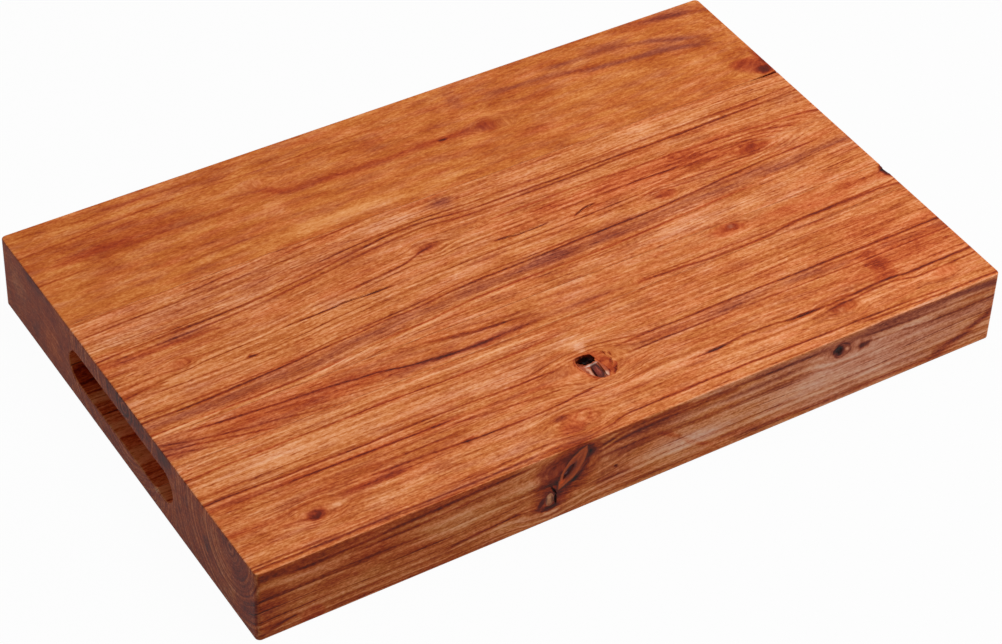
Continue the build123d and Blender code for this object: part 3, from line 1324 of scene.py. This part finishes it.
# Marks of the front stave's left end: pale growth rings round its pith.
END_RINGS = (
    *(
        Patch((LEFT, -119, 43), (30, size, size), Tint(-0.2, -0.4), core=0.95, hollow=0.85)
        for size in (19, 25, 31)
    ),
    Patch((LEFT, -119, 43), (30, 18, 18), Tint(0.14, 0.0, 0.3)),
    Patch((LEFT, -93, 22), (30, 7, 7), Tint(0.25, -0.3, 0.5)),
    Patch((LEFT, -116, 9), (30, 13, 7), Tint(-0.12, -0.4)),
    Patch((LEFT, -132, 24), (30, 18, 32), Tint(0.28, 0.2)),
)
FRONT_TIMBER = Timber(
    "front_timber",
    Path(((LEFT, -119), (RIGHT, -119))),
    Path(((LEFT, 42), (50, 44), (RIGHT, 45))),
    seed=4.0,
    ring_width=3.4,
    knots=(
        Knot((-179, -121), 4.5, Tint(0.1, 0.3)),
        Knot((-34, -129), 6.0, Tint(0.0, 0.4)),
        Knot((134, -125), 4.5),
        Knot((200, -127.5), 4.0, Tint(-0.05, 0.6)),
        Knot((-4.5, -99), 9.0, Tint()),
        Knot((120, 36.7), 5.0, Tint(0.2, 0.0, 0.6), Face.FRONT),
        Knot((135, 34), 4.0, Tint(0.15, 0.0, 0.6), Face.FRONT),
        Knot((-45.5, 32), 10.0, Tint(), Face.FRONT),
        Knot((-58.5, 13), 7.0, Tint(), Face.FRONT),
    ),
    streaks=(
        Streak(((LEFT, -70), (-120, -70), (-50, -70.5), (0, -66)), 0.9, ORANGE_LINE),
        Streak(((LEFT, -63), (-100, -64), (0, -65)), 1.4, PALE),
        Streak(((LEFT, -85), (-130, -85.5), (-60, -86)), 0.8, FAINT),
        Streak(((LEFT, -90.7), (-100, -91), (-50, -91.5), (-14, -92.5)), 1.0, DARK),
        Streak(((8, -91.5), (60, -90.2), (160, -90.3), (RIGHT, -90.5)), 1.0, DARK),
        Streak(((LEFT, -94.5), (-145, -96.5), (-66, -97.5), (-25, -101)), 2.6, RED_BAND),
        Streak(((-180, -96), (-145, -96.8), (-80, -97.6)), 0.9, DARK),
        Streak(((LEFT, -99.5), (-120, -100.5), (-50, -101)), 0.8, FAINT),
        Streak(((-95, -100), (-50, -104), (-18, -106)), 0.9, LINE),
        Streak(((12, -97.5), (50, -95), (90, -94), (150, -94.5), (RIGHT, -95)), 5.0, Tint(0.16, 0.1, 0.5)),
        Streak(((8, -99), (40, -98.5), (80, -98.3)), 1.0, DARK),
        Streak(((80, -98.5), (160, -99.3), (RIGHT, -99)), 0.8, LINE),
        Streak(((-145, -105.5), (-110, -107), (-80, -106.5)), 1.2, LINE),
        Streak(((-150, -112), (-95, -113.8), (-66, -115), (-25, -113), (0, -111)), 1.0, DARK),
        Streak(((-170, -116), (-140, -117), (-115, -117.5)), 2.5, RED_BAND),
        Streak(
            (
                (35, -119.5), (55, -119), (67, -118), (80, -117), (100, -118.5),
                (120, -119.6), (145, -119), (165, -117.8), (185, -119.3), (RIGHT, -118),
            ),
            1.2,
            DARK,
        ),
        Streak(((125, -122.5), (145, -122), (165, -120.8), (190, -124), (RIGHT, -122.5)), 1.0, DARK),
        Streak(((145, -120.5), (165, -119.3), (190, -121.8)), 0.9, PALE),
        Streak(((LEFT, -138.5), (-110, -138.5), (-60, -136.5), (-40, -137.5)), 1.0, LINE),
        Streak(((LEFT, -141), (-110, -141), (-60, -139.5)), 1.0, DARK),
        Streak(
            ((-40, -142), (-20, -139.5), (0, -136.5), (60, -136.6), (130, -137.5), (200, -139)),
            0.9,
            DARK,
        ),
        Streak(((130, -139), (170, -141), (RIGHT, -142)), 1.0, DARK),
        Streak(((LEFT, 42.5), (-150, 43.5), (-70, 45)), 5.0, Tint(0.35, 0.3), Face.FRONT),
        Streak(((-215, 40), (-180, 38.5), (-150, 40), (-100, 42), (-60, 43)), 1.4, DARK, Face.FRONT),
        Streak(((-180, 34), (-120, 36.5), (-80, 38)), 1.0, LINE, Face.FRONT),
        Streak(((LEFT, 27), (-150, 27.5), (-100, 27)), 1.0, FAINT, Face.FRONT),
        Streak(((LEFT, 3), (-199, 10)), 1.6, DARK, Face.FRONT, 6),
        Streak(((-132, 7), (-105, 11.5), (-90, 12.5), (-64, 16)), 1.7, DARK, Face.FRONT),
        Streak(((-35, 36), (-25, 39.5), (-10, 42.5), (30, 44)), 1.8, DARK, Face.FRONT, 8),
        Streak(((-34, 33.5), (-25, 36), (-10, 38.5), (20, 39.5), (60, 39)), 1.8, DARK, Face.FRONT, 8),
        Streak(((-36, 42), (-20, 44.5), (0, 45)), 1.6, DARK, Face.FRONT, 6),
        Streak(((30, 43), (110, 41.5), (RIGHT, 40)), 4.5, Tint(0.24, -0.1, 0.7), Face.FRONT),
        Streak(((-32, 37), (-24, 38.5), (-14, 39.8)), 1.0, PALE, Face.FRONT, 5),
        Streak(((-33, 30), (-15, 31), (5, 30.5)), 1.1, LINE, Face.FRONT, 8),
        Streak(((-42, 13), (-25, 13.5), (-8, 12)), 1.3, LINE, Face.FRONT, 6),
        Streak(((0, 42), (60, 41.5), (100, 41), (116, 43)), 1.2, DARK, Face.FRONT),
        Streak(((0, 35.5), (50, 35), (105, 35)), 3.0, PLUM_BAND, Face.FRONT),
        Streak(((60, 31), (110, 30.5)), 1.0, LINE, Face.FRONT),
        Streak(((128, 42), (160, 38.5), (RIGHT, 36)), 1.3, DARK, Face.FRONT),
        Streak(((130, 36), (160, 33), (200, 31), (RIGHT, 31.5)), 1.2, DARK, Face.FRONT),
        Streak(((125, 34), (160, 30), (200, 28), (RIGHT, 29)), 3.0, PLUM_BAND, Face.FRONT),
        Streak(((130, 44), (180, 43), (RIGHT, 41)), 3.0, PLUM_BAND, Face.FRONT),
        Streak(((2, 33), (14, 25.5), (28, 15), (44, 5)), 2.4, Tint(0.2, 1.0, -0.4), Face.FRONT, 10),
        Streak(((40, 8), (90, 5.5), (110, 4), (150, 3.5), (200, 3)), 2.2, Tint(0.22, 1.0), Face.FRONT),
        Streak(((180, 3.5), (205, 11), (215, 16), (RIGHT, 21)), 4.2, Tint(0.6, 1.0, 0.1), Face.FRONT, 10),
    ),
    patches=(
        Patch((-160, -78, TOP), (80, 16, 12), Tint(-0.16, -0.5)),
        Patch((-60, -82, TOP), (60, 12, 10), Tint(-0.12, -0.3, 0.15)),
        Patch((-5, -77, TOP), (14, 9, 8), Tint(-0.2, -0.5, 0.1)),
        Patch((80, -96, TOP), (14, 5, 8), Tint(0.1, 0.0, 0.4)),
        Patch((190, -95, TOP), (65, 40, 20), Tint(0.02, 0.6, -0.2)),
        Patch((172, -105, TOP), (9, 16, 8), Tint(0.25, 0.9)),
        Patch((170, -116, TOP), (13, 4, 8), Tint(0.25, 0.7)),
        Patch((-150, -112, TOP), (90, 11, 8), Tint(0.14, 0.3)),
        Patch((-132, -115, TOP), (14, 4, 8), Tint(0.16, 0.2, 0.2)),
        Patch((-218, -117, TOP), (16, 5, 8), Tint(0.2, 0.3)),
        Patch((-180, -122, TOP), (9, 6, 8), Tint(0.25, 0.4), (0, 0, 20)),
        Patch((-186, -128, TOP), (9, 3, 8), Tint(0.18, 0.4)),
        Patch((-168, -121, TOP), (8, 3, 6), Tint(-0.25, -0.4)),
        Patch((-140, -129, TOP), (30, 7, 8), Tint(-0.08, -0.3)),
        Patch((-78, -132, TOP), (32, 9, 8), Tint(-0.1, -0.2, 0.3)),
        Patch((-41, -124, TOP), (8, 4, 8), Tint(0.35, 0.1, 0.5)),
        Patch((-40, -133, TOP), (10, 5, 8), Tint(0.12, 1.0)),
        Patch((-31, -128, TOP), (7, 5, 8), Tint(-0.22, -0.4)),
        Patch((-30, -127, TOP), (7.5, 4, 8), Tint(0.14, 0.3), (0, 0, 20), core=0.8, hollow=0.6),
        Patch((-89, -113.5, TOP), (6, 2, 4), Tint(0.4, 0.4)),
        Patch((57, -119, TOP), (12, 2.4, 5), Tint(0.5, 0.1, 0.6)),
        Patch((112, -119.5, TOP), (13, 2.4, 5), Tint(0.45, 0.5)),
        Patch((136, -125, TOP), (14, 6, 8), Tint(0.12, 0.3)),
        # Painted highlight: a pale glint on the knot.
        Patch((133, -125.5, TOP), (4, 2.5, 6), Tint(-0.25, -0.4, 0.4)),
        Patch((70, -130, TOP), (36, 8, 8), Tint(-0.06, -0.2)),
        Patch((-120, -141, TOP), (110, 3, 4), Tint(0.1, 0.0, 0.5)),
        # Darker on the left of the front face: partly the wood's own colour and partly painted shade.
        Patch((-150, -146, 24), (110, 8, 46), Tint(0.14, 0.3, -0.3)),
        # Paler and pinker on the right of the front face: partly the wood's own colour and partly a painted
        # sheen.
        Patch((140, -146, 22), (120, 8, 34), Tint(-0.28, -0.5, 1.1)),
        Patch((-6, -146, 34), (36, 8, 14), Tint(0.3, 0.3, 0.3)),
        Patch((-220, -146, 25), (20, 8, 32), Tint(0.32, 0.2)),
        Patch((-194.5, FRONT, 4), (8, 8, 7), Tint(0.15, 1.4, -0.6), core=0.5),
        Patch((-165, -146, 30), (28, 8, 10), Tint(0.16, 0.3)),
        Patch((-105, -146, 25), (45, 8, 10), Tint(-0.22, -0.5)),
        Patch((-150, -146, 15), (45, 8, 6), Tint(-0.12, -0.4)),
        Patch((-22, -146, 14), (18, 8, 10), Tint(0.24, 0.2, 0.2)),
        Patch((-19.3, FRONT, 20), (2.2, 6, 2), Tint(0.5, 0.0, 0.4)),
        Patch((-18.5, FRONT, 16.8), (3, 6, 2), Tint(-0.3, 0.3)),
        Patch((80, -146, 20), (90, 8, 10), Tint(-0.16, -0.3)),
        Patch((120, FRONT, 36.5), (9, 8, 7), Tint(0.2, 0.6, 0.2)),
        Patch((119, FRONT, 37), (4.6, 8, 4.2), Tint(0.9, -0.4, 1.0), core=0.4),
        Patch((121, FRONT, 36.5), (6.5, 8, 5.5), Tint(0.3, 0.6), core=0.9, hollow=0.75),
        # Painted highlight: a pale glint on the small knot.
        Patch((124.5, FRONT, 36), (2, 6, 2), Tint(-0.35)),
        Patch((136, FRONT, 34.5), (12, 8, 6), Tint(0.15, 0.2, 0.5)),
        Patch((135, FRONT, 34.5), (7, 8, 3), Tint(0.55, -0.2, 0.7)),
        Patch((24, -146, 18), (40, 8, 11), Tint(-0.4, -0.3, 0.9)),
        *TOP_KNOT_MARKS,
        *EYE_MARKS,
        *PIN_MARKS,
    ),
    end_patches=END_RINGS,
)
TOP_KNOT = KnotFinish(
    "top_knot",
    Face.TOP,
    srgb(174, 84, 52),
    (
        # Pale lip of the void: partly paler wood and partly a painted highlight.
        Spot((-5.4, -97.2), (5.6, 1.0), srgb(226, 190, 174), 4, core=0.2),
        Spot((-8.9, -101.5), (1.2, 5.2), srgb(216, 156, 128), 4, core=0.2),
        Spot((-1.4, -106.4), (1.4, 2.8), srgb(220, 168, 142), -6, core=0.2),
        Spot((-10.6, -103), (0.9, 6.0), srgb(108, 42, 30), 12, core=0.3),
        Spot((-4.9, -102.8), (3.8, 7.8), srgb(54, 18, 16), -6, core=0.6),
        Spot((-5.1, -102.9), (2.7, 6.2), srgb(124, 48, 36), -6, core=0.2),
        Spot((-4.6, -102.0), (0.6, 4.6), srgb(150, 72, 54), -6, core=0.2),
    ),
)
EYE_KNOT = KnotFinish(
    "eye_knot",
    Face.FRONT,
    srgb(74, 26, 18),
    (
        Spot((-45.6, 31.6), (15.2, 5.9), srgb(180, 80, 38), 55, core=0.75, pointed=True),
        Spot((-45.6, 31.6), (12.6, 4.4), srgb(146, 58, 28), 55, core=0.5, pointed=True),
        Spot((-42.4, 36.6), (6.5, 1.3), srgb(176, 80, 40), 55, core=0.2),
        Spot((-51.5, 24.5), (3.2, 2.0), srgb(216, 88, 36), 55, core=0.2),
        Spot((-47.4, 30.2), (8.0, 3.0), srgb(96, 36, 26), 53, core=0.4, pointed=True),
        Spot((-48.0, 30.0), (5.6, 1.8), srgb(56, 24, 28), 53, core=0.3, pointed=True),
        # Painted highlight: a pinkish grey glint on the dark core.
        Spot((-49.4, 28.6), (1.8, 0.6), srgb(140, 92, 92), 55, core=0.2),
    ),
)
PIN_KNOT = KnotFinish(
    "pin_knot",
    Face.FRONT,
    srgb(188, 122, 84),
    (
        Spot((-57.0, 14.8), (1.6, 5.0), srgb(116, 62, 42), core=0.2),
        Spot((-60.8, 15.4), (1.2, 4.6), srgb(110, 58, 46), core=0.2),
        Spot((-58.8, 12.0), (2.4, 1.6), srgb(150, 84, 56), core=0.2),
        Spot((-58.9, 16.8), (1.4, 1.4), srgb(214, 156, 118), core=0.2),
    ),
)
GLUE = PlainFinish("glue", srgb(96, 44, 26), srgb(150, 82, 46))


def look(place: Point, aim: Point) -> Quaternion:
    """The turn of a lamp or a camera at a place that looks at an aim."""
    return (Vector(aim) - Vector(place)).to_track_quat("-Z", "Y")


@dataclass(frozen=True)
class Softbox:
    """A soft lamp that points at the board. Lengths are in metres, and the power is in watts."""

    name: str
    place: Point
    size: tuple[float, float]
    power: float
    aim: Point = (0, 0, 0.03)

    def build(self) -> None:
        """Hangs the lamp."""
        lamp = bpy.data.lights.new(self.name, "AREA")
        lamp.shape = "RECTANGLE"
        lamp.size, lamp.size_y = self.size
        lamp.energy = self.power
        softbox = bpy.data.objects.new(self.name, lamp)
        bpy.context.scene.collection.objects.link(softbox)
        softbox.location = self.place
        softbox.rotation_euler = look(self.place, self.aim).to_euler()


@dataclass
class Studio:
    """Floor, light and camera of the photograph. Lengths are in metres."""

    camera_place: Point = (-0.67652, -1.03554, 1.08725)
    camera_aim: Point = (-0.0284, -0.04619, 0.046)
    camera_roll: float = 2.463
    focal_length: float = 108.86
    sensor_width: float = 36.0
    floor_half: float = 6.0
    sky: float = 0.26
    sky_glow: float = 0.97
    floor_drop: float = 0.0003
    floor_grey: float = 0.4
    floor_glow: float = 0.97
    lamps: tuple[Softbox, ...] = (
        Softbox("key_light", (0.55, -0.15, 1.7), (1.6, 1.2), 26),
        Softbox("side_light", (1.0, -0.95, 0.55), (0.7, 0.6), 5),
    )

    def build(self) -> None:
        """Sets up the whole studio."""
        self.add_floor()
        self.add_sky()
        for lamp in self.lamps:
            lamp.build()
        self.add_camera()
        bpy.context.scene.view_settings.view_transform = "Standard"

    def add_floor(self) -> None:
        """A plain pale floor that keeps a faint shadow."""
        bpy.ops.object.select_all(action="DESELECT")
        bpy.ops.mesh.primitive_plane_add(size=2 * self.floor_half, location=(0, 0, -self.floor_drop))
        floor = bpy.context.object
        floor.name = "floor"
        shader = Shader("floor")
        shader.give("Base Color", (self.floor_grey,) * 3 + (1,))
        shader.give("Roughness", 1.0)
        shader.give("Specular IOR Level", 0.0)
        glow = shader.node("ShaderNodeEmission")
        plain = Value(shader, shader.principled.outputs[0])
        share = shader.seen() * self.floor_glow
        blend = shader.node("ShaderNodeMixShader", None, {0: share, 1: plain, 2: glow})
        shader.feed(shader.tree.nodes["Material Output"].inputs["Surface"], blend)
        floor.data.materials.append(shader.material)

    def add_sky(self) -> None:
        """A dim even light from all round, which looks as white as the floor."""
        sky = Sky("sky")
        sky.background.inputs["Color"].default_value = (1, 1, 1, 1)
        sky.feed(sky.background.inputs["Strength"], sky.seen() * (self.sky_glow - self.sky) + self.sky)
        bpy.context.scene.world = sky.world

    def add_camera(self) -> None:
        """The camera at the photograph's place, aim, roll and angle of view."""
        data = bpy.data.cameras.new("camera")
        data.sensor_fit = "HORIZONTAL"
        data.sensor_width = self.sensor_width
        data.lens = self.focal_length
        camera = bpy.data.objects.new("camera", data)
        bpy.context.scene.collection.objects.link(camera)
        turn = look(self.camera_place, self.camera_aim).to_matrix().to_4x4()
        roll = Matrix.Rotation(math.radians(self.camera_roll), 4, "Z")
        camera.matrix_world = Matrix.Translation(self.camera_place) @ turn @ roll
        bpy.context.scene.camera = camera


def take(piece: bpy.types.Object) -> None:
    """Selects one piece and nothing else.

    Args:
        piece: The piece.
    """
    bpy.ops.object.select_all(action="DESELECT")
    piece.select_set(True)
    bpy.context.view_layer.objects.active = piece


@contextmanager
def editing(piece: bpy.types.Object) -> Iterator[None]:
    """Opens edit mode on one piece, with all of it selected.

    Args:
        piece: The piece.

    Yields:
        Nothing, while edit mode is open.
    """
    take(piece)
    bpy.ops.object.mode_set(mode="EDIT")
    bpy.ops.mesh.select_all(action="SELECT")
    yield
    bpy.ops.object.mode_set(mode="OBJECT")


def pick_points(test: Callable[[Vector], bool]) -> None:
    """Selects points of the open mesh.

    Args:
        test: Tells from its place whether a point is selected.
    """
    bpy.ops.mesh.select_mode(type="VERT")
    mesh = bmesh.from_edit_mesh(bpy.context.object.data)
    for point in mesh.verts:
        point.select_set(test(point.co))
    mesh.select_flush_mode()
    bmesh.update_edit_mesh(bpy.context.object.data)


def pick_edges(test: Callable[[Vector, Vector], bool]) -> None:
    """Selects edges of the open mesh.

    Args:
        test: Tells from the places of its two ends whether an edge is selected.
    """
    bpy.ops.mesh.select_all(action="DESELECT")
    bpy.ops.mesh.select_mode(type="EDGE")
    mesh = bmesh.from_edit_mesh(bpy.context.object.data)
    for edge in mesh.edges:
        edge.select_set(test(edge.verts[0].co, edge.verts[1].co))
    bmesh.update_edit_mesh(bpy.context.object.data)


def cut(piece: bpy.types.Object, tool: bpy.types.Object, operation: str = "DIFFERENCE") -> None:
    """Cuts a piece with a tool, and puts the tool away.

    Args:
        piece: The piece to cut.
        tool: The shape that is cut out, or kept.
        operation: DIFFERENCE or INTERSECT.
    """
    take(piece)
    modifier = piece.modifiers.new("cut", "BOOLEAN")
    modifier.operation = operation
    modifier.object = tool
    modifier.solver = "EXACT"
    bpy.ops.object.modifier_apply(modifier=modifier.name)
    bpy.data.objects.remove(tool)


def copied(piece: bpy.types.Object) -> bpy.types.Object:
    """Copies a piece with its mesh.

    Args:
        piece: The piece.

    Returns:
        The copy.
    """
    take(piece)
    bpy.ops.object.duplicate()
    return bpy.context.object


def finish_piece(piece: bpy.types.Object, node: str, slot: str, material: bpy.types.Material) -> None:
    """Smooths and dresses a piece that stands for a node of the frame.

    Args:
        piece: The finished mesh.
        node: The node that it stands for.
        slot: The slot of the record that its finish comes from.
        material: Its finish.
    """
    take(piece)
    piece.name = f"{node}_wood" if slot != "glue" else f"{node}_film"
    bpy.ops.object.shade_smooth_by_angle(angle=math.radians(SMOOTH_ANGLE))
    weight = piece.modifiers.new("weight", "WEIGHTED_NORMAL")
    weight.keep_sharp = True
    weight.weight = FLAT_WEIGHT
    bpy.ops.object.modifier_apply(modifier=weight.name)
    piece.data.materials.clear()
    piece.data.materials.append(material)
    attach(piece, BODY)
    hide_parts(node)
    log.info("built %s: %d faces", piece.name, len(piece.data.polygons))


@dataclass(frozen=True)
class Dent:
    """A crack, chip or worn place: an uneven ellipsoid that is cut out, in millimetres and degrees."""

    place: Point
    size: Point
    turn: Point = UNTURNED
    uneven: float = 0.12

    def tool(self) -> bpy.types.Object:
        """Models the shape to cut out.

        Returns:
            The tool.
        """
        bpy.ops.object.select_all(action="DESELECT")
        bpy.ops.mesh.primitive_ico_sphere_add(subdivisions=DENT_FINENESS, radius=1)
        tool = bpy.context.object
        with editing(tool):
            seed = int(abs(self.place[0]))
            bpy.ops.transform.vertex_random(offset=self.uneven, uniform=0.0, normal=1.0, seed=seed)
        tool.scale = [reach * MM for reach in self.size]
        tool.rotation_euler = [math.radians(angle) for angle in self.turn]
        tool.location = [place * MM for place in self.place]
        return tool


@dataclass
class Block:
    """The whole board after it is glued and planed, before its strips are told apart, in millimetres."""

    corner_radius: float = 2.8
    corner_steps: int = 6
    edge_radius: float = 0.8
    edge_steps: int = 5
    grip_length: float = GRIP_LENGTH
    grip_height: float = GRIP_HEIGHT
    grip_depth: float = 25.0
    grip_to_rear: float = GRIP_TO_REAR
    grip_rim_radius: float = 0.8
    rim_steps: int = 3

    def build(self) -> bpy.types.Object:
        """Models the block with its eased edges and its two finger grips.

        Returns:
            The block.
        """
        bpy.ops.object.select_all(action="DESELECT")
        bpy.ops.mesh.primitive_cube_add(size=1)
        block = bpy.context.object
        block.name = "block"
        tall = BOARD_TOP * MM
        with editing(block):
            size = (BOARD_LENGTH * MM, BOARD_WIDTH * MM, tall)
            bpy.ops.transform.resize(value=size, center_override=(0, 0, 0))
            bpy.ops.transform.translate(value=(0, 0, tall / 2))
            pick_edges(lambda one, other: abs(one.z - other.z) > tall / 2)
            bpy.ops.mesh.bevel(offset=self.corner_radius * MM, segments=self.corner_steps, affect="EDGES")
            pick_edges(lambda one, other: abs(one.z - other.z) < tall / 2)
            bpy.ops.mesh.bevel(offset=self.edge_radius * MM, segments=self.edge_steps, affect="EDGES")
        for end in (-1, 1):
            cut(block, self.grip_tool(end))
        return block

    def grip_tool(self, end: int) -> bpy.types.Object:
        """Models the shape of one finger grip, with a flared mouth that eases its rim.

        Args:
            end: -1 for the left end of the board, 1 for the right end.

        Returns:
            The tool.
        """
        radius = self.grip_height / 2
        middle = Vector((end * BOARD_LENGTH / 2, self.grip_to_rear, BOARD_TOP / 2)) * MM
        bpy.ops.object.select_all(action="DESELECT")
        bpy.ops.mesh.primitive_circle_add(
            vertices=ROUND_POINTS, radius=radius * MM, fill_type="NGON", rotation=(0, math.pi / 2, 0)
        )
        bpy.ops.object.transform_apply(rotation=True)
        tool = bpy.context.object
        straight = (self.grip_length - self.grip_height) * MM
        with editing(tool):
            pick_points(lambda point: point.y > -TOUCH * MM)
            bpy.ops.transform.translate(value=(0, straight, 0))
            bpy.ops.mesh.select_all(action="SELECT")
            start = middle + Vector((-end * self.grip_depth * MM, -straight / 2, 0))
            bpy.ops.transform.translate(value=start)
            self._pull(end * (self.grip_depth - self.grip_rim_radius))
            size = Vector((self.grip_length, self.grip_height))
            for step in range(1, self.rim_steps + 1):
                turn = step / self.rim_steps * math.pi / 2
                last = (step - 1) / self.rim_steps * math.pi / 2
                grow = 2 * self.grip_rim_radius * (math.cos(last) - math.cos(turn))
                self._pull(end * self.grip_rim_radius * (math.sin(turn) - math.sin(last)))
                factor = (1, 1 + grow / size.x, 1 + grow / size.y)
                bpy.ops.transform.resize(value=factor, center_override=middle)
                size += Vector((grow, grow))
            self._pull(end * self.grip_rim_radius)
            bpy.ops.mesh.select_all(action="SELECT")
            bpy.ops.mesh.normals_make_consistent(inside=False)
        return tool

    @staticmethod
    def _pull(distance: float) -> None:
        """Extrudes the selected face along the board, by millimetres."""
        bpy.ops.mesh.extrude_region_move(TRANSFORM_OT_translate={"value": (distance * MM, 0, 0)})


@dataclass
class DeadKnot:
    """The stub of a branch that the board was cut through, in millimetres and degrees."""

    node: str
    face: Face
    place: tuple[float, float]
    size: tuple[float, float]
    turn: float
    depth: float
    finish: KnotFinish
    dents: tuple[Dent, ...] = ()
    proud: float = 2.0

    def tool(self) -> bpy.types.Object:
        """Models the knot as a plug that stands a little out of the face.

        Returns:
            The plug.
        """
        bpy.ops.object.select_all(action="DESELECT")
        bpy.ops.mesh.primitive_circle_add(vertices=ROUND_POINTS, radius=0.5, fill_type="NGON")
        plug = bpy.context.object
        with editing(plug):
            size = (self.size[0] * MM, self.size[1] * MM, 1)
            bpy.ops.transform.resize(value=size, center_override=(0, 0, 0))
            rise = (0, 0, (self.depth + self.proud) * MM)
            bpy.ops.mesh.extrude_region_move(TRANSFORM_OT_translate={"value": rise})
            bpy.ops.mesh.select_all(action="SELECT")
            bpy.ops.transform.translate(value=(0, 0, -self.depth * MM))
            bpy.ops.mesh.normals_make_consistent(inside=False)
        x, across = self.place
        if self.face is Face.TOP:
            seat = Matrix.Translation(Vector((x, across, BOARD_TOP)) * MM)
        else:
            upright = Matrix.Rotation(math.pi / 2, 4, "X")
            seat = Matrix.Translation(Vector((x, BOARD_FRONT, across)) * MM) @ upright
        plug.matrix_world = seat @ Matrix.Rotation(math.radians(self.turn), 4, "Z")
        take(plug)
        bpy.ops.object.transform_apply(location=True, rotation=True, scale=True)
        return plug

    def build(self, block: bpy.types.Object, others: Sequence["DeadKnot"] = ()) -> None:
        """Models the knot, flush with the board.

        Args:
            block: The whole board.
            others: Knots that cut into this one.
        """
        knot = self.tool()
        cut(knot, copied(block), "INTERSECT")
        for other in others:
            cut(knot, other.tool())
        for dent in self.dents:
            cut(knot, dent.tool())
        finish_piece(knot, self.node, "knot_wood", self.finish.material())


@dataclass
class Strip:
    """A stave or a film of glue: a slice of the board between two joints."""

    node: str
    slot: str
    finish: Union[Timber, PlainFinish]
    knots: tuple[DeadKnot, ...] = ()
    dents: tuple[Dent, ...] = ()

    def build(self, block: bpy.types.Object) -> None:
        """Models the strip.

        Args:
            block: The whole board.
        """
        strip = copied(block)
        low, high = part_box(self.node)
        outside = (BOARD_WIDTH / 2 - 1) * MM
        with editing(strip):
            for place, side in ((low[1], -1), (high[1], 1)):
                if abs(place) < outside:
                    bpy.ops.mesh.select_all(action="SELECT")
                    bpy.ops.mesh.bisect(
                        plane_co=(0, place, 0),
                        plane_no=(0, side, 0),
                        use_fill=True,
                        clear_outer=True,
                        threshold=SAW_REACH,
                    )
        for knot in self.knots:
            cut(strip, knot.tool())
        for dent in self.dents:
            cut(strip, dent.tool())
        finish_piece(strip, self.node, self.slot, self.finish.material())


# Dents that more than one piece shares.
KNOT_VOID = Dent((-5.4, -92.6, 45.5), (4.8, 3.6, 5.5), (0, 0, -12))
REAR_JOINT_GAP = Dent((222, 61.5, TOP), (16, 0.7, 1.6))
GRIP_CHIP = Dent((LEFT, -36.9, 12.2), (1.6, 2.2, 1.2))
BARK_POCKET = Dent((226, -41.5, 46.8), (2.4, 5.5, 2.6))

# The pieces of the board.
TOP_KNOT_PIECE = DeadKnot(
    "top_knot",
    Face.TOP,
    (-6, -99),
    (10.5, 21),
    21,
    9,
    TOP_KNOT,
    (
        KNOT_VOID,
        Dent((-7.5, -92, TOP), (7, 4.6, 6), (0, 0, 12)),
        Dent((-2.2, -102.5, TOP), (0.6, 6.0, 0.9), (0, 0, -6)),
        Dent((-7.4, -103.5, TOP), (0.6, 5.5, 0.9), (0, 0, -6)),
    ),
)
EYE_KNOT_PIECE = DeadKnot(
    "front_knot",
    Face.FRONT,
    (-45.5, 31.3),
    (10.5, 29),
    -35,
    16,
    EYE_KNOT,
    (
        Dent((-48.2, FRONT, 30.5), (2.0, 0.7, 5.0), (0, 40, 0)),
        Dent((-50, FRONT, 28), (0.7, 1.0, 3.0), (0, 34, 0)),
    ),
)
PIN_KNOT_PIECE = DeadKnot("pin_knot", Face.FRONT, (-58.7, 15.3), (5, 8.5), 0, 10, PIN_KNOT)

STRIPS = (
    Strip("rear_stave", "timber", REAR_TIMBER, dents=(REAR_JOINT_GAP,)),
    Strip("rear_glue_line", "glue", GLUE, dents=(REAR_JOINT_GAP,)),
    Strip(
        "wide_stave",
        "timber",
        WIDE_TIMBER,
        dents=(
            REAR_JOINT_GAP,
            GRIP_CHIP,
            Dent((20, 10.6, TOP), (14, 0.5, 0.6)),
            Dent((61, 10.8, TOP), (7, 0.5, 0.6), (0, 0, 14)),
            Dent((-84, 7.2, TOP), (22, 0.4, 0.5)),
        ),
    ),
    Strip("middle_glue_line", "glue", GLUE, dents=(GRIP_CHIP,)),
    Strip("narrow_stave", "timber", NARROW_TIMBER, dents=(GRIP_CHIP, BARK_POCKET)),
    Strip("front_glue_line", "glue", GLUE),
    Strip(
        "front_stave",
        "timber",
        FRONT_TIMBER,
        knots=(TOP_KNOT_PIECE, EYE_KNOT_PIECE, PIN_KNOT_PIECE),
        dents=(
            KNOT_VOID,
            Dent((5, -92.5, TOP), (0.5, 2.0, 0.4)),
            Dent((7.4, -94.5, TOP), (0.4, 1.8, 0.3)),
            Dent((5.2, -100, TOP), (0.5, 2.8, 0.5), (0, 0, -25)),
            Dent((3.6, -106.5, TOP), (0.5, 3.6, 0.5), (0, 0, -42)),
            Dent((57, -118.8, TOP), (10, 0.5, 0.4)),
            Dent((112, -119.4, TOP), (11, 0.5, 0.4)),
            Dent((-55.2, FRONT, 14.2), (0.8, 1.2, 3.4), (0, -4, 0)),
            Dent((-56.6, FRONT, 21), (0.7, 1.0, 4.0), (0, -28, 0)),
            Dent((-19.3, FRONT, 20), (1.2, 0.5, 1.1)),
            Dent((119, FRONT, 37), (2.4, 0.6, 2.2)),
            Dent((188, -145.1, 47.1), (34, 2.4, 2.4), uneven=0.04),
        ),
    ),
)


def main() -> None:
    """Builds the board and its studio."""
    logging.basicConfig(level=logging.INFO, format="%(name)s: %(message)s")
    block = Block().build()
    for strip in STRIPS:
        strip.build(block)
    TOP_KNOT_PIECE.build(block)
    EYE_KNOT_PIECE.build(block)
    PIN_KNOT_PIECE.build(block, (EYE_KNOT_PIECE,))
    bpy.data.objects.remove(block)
    Studio().build()


if __name__ == "__main__":
    main()
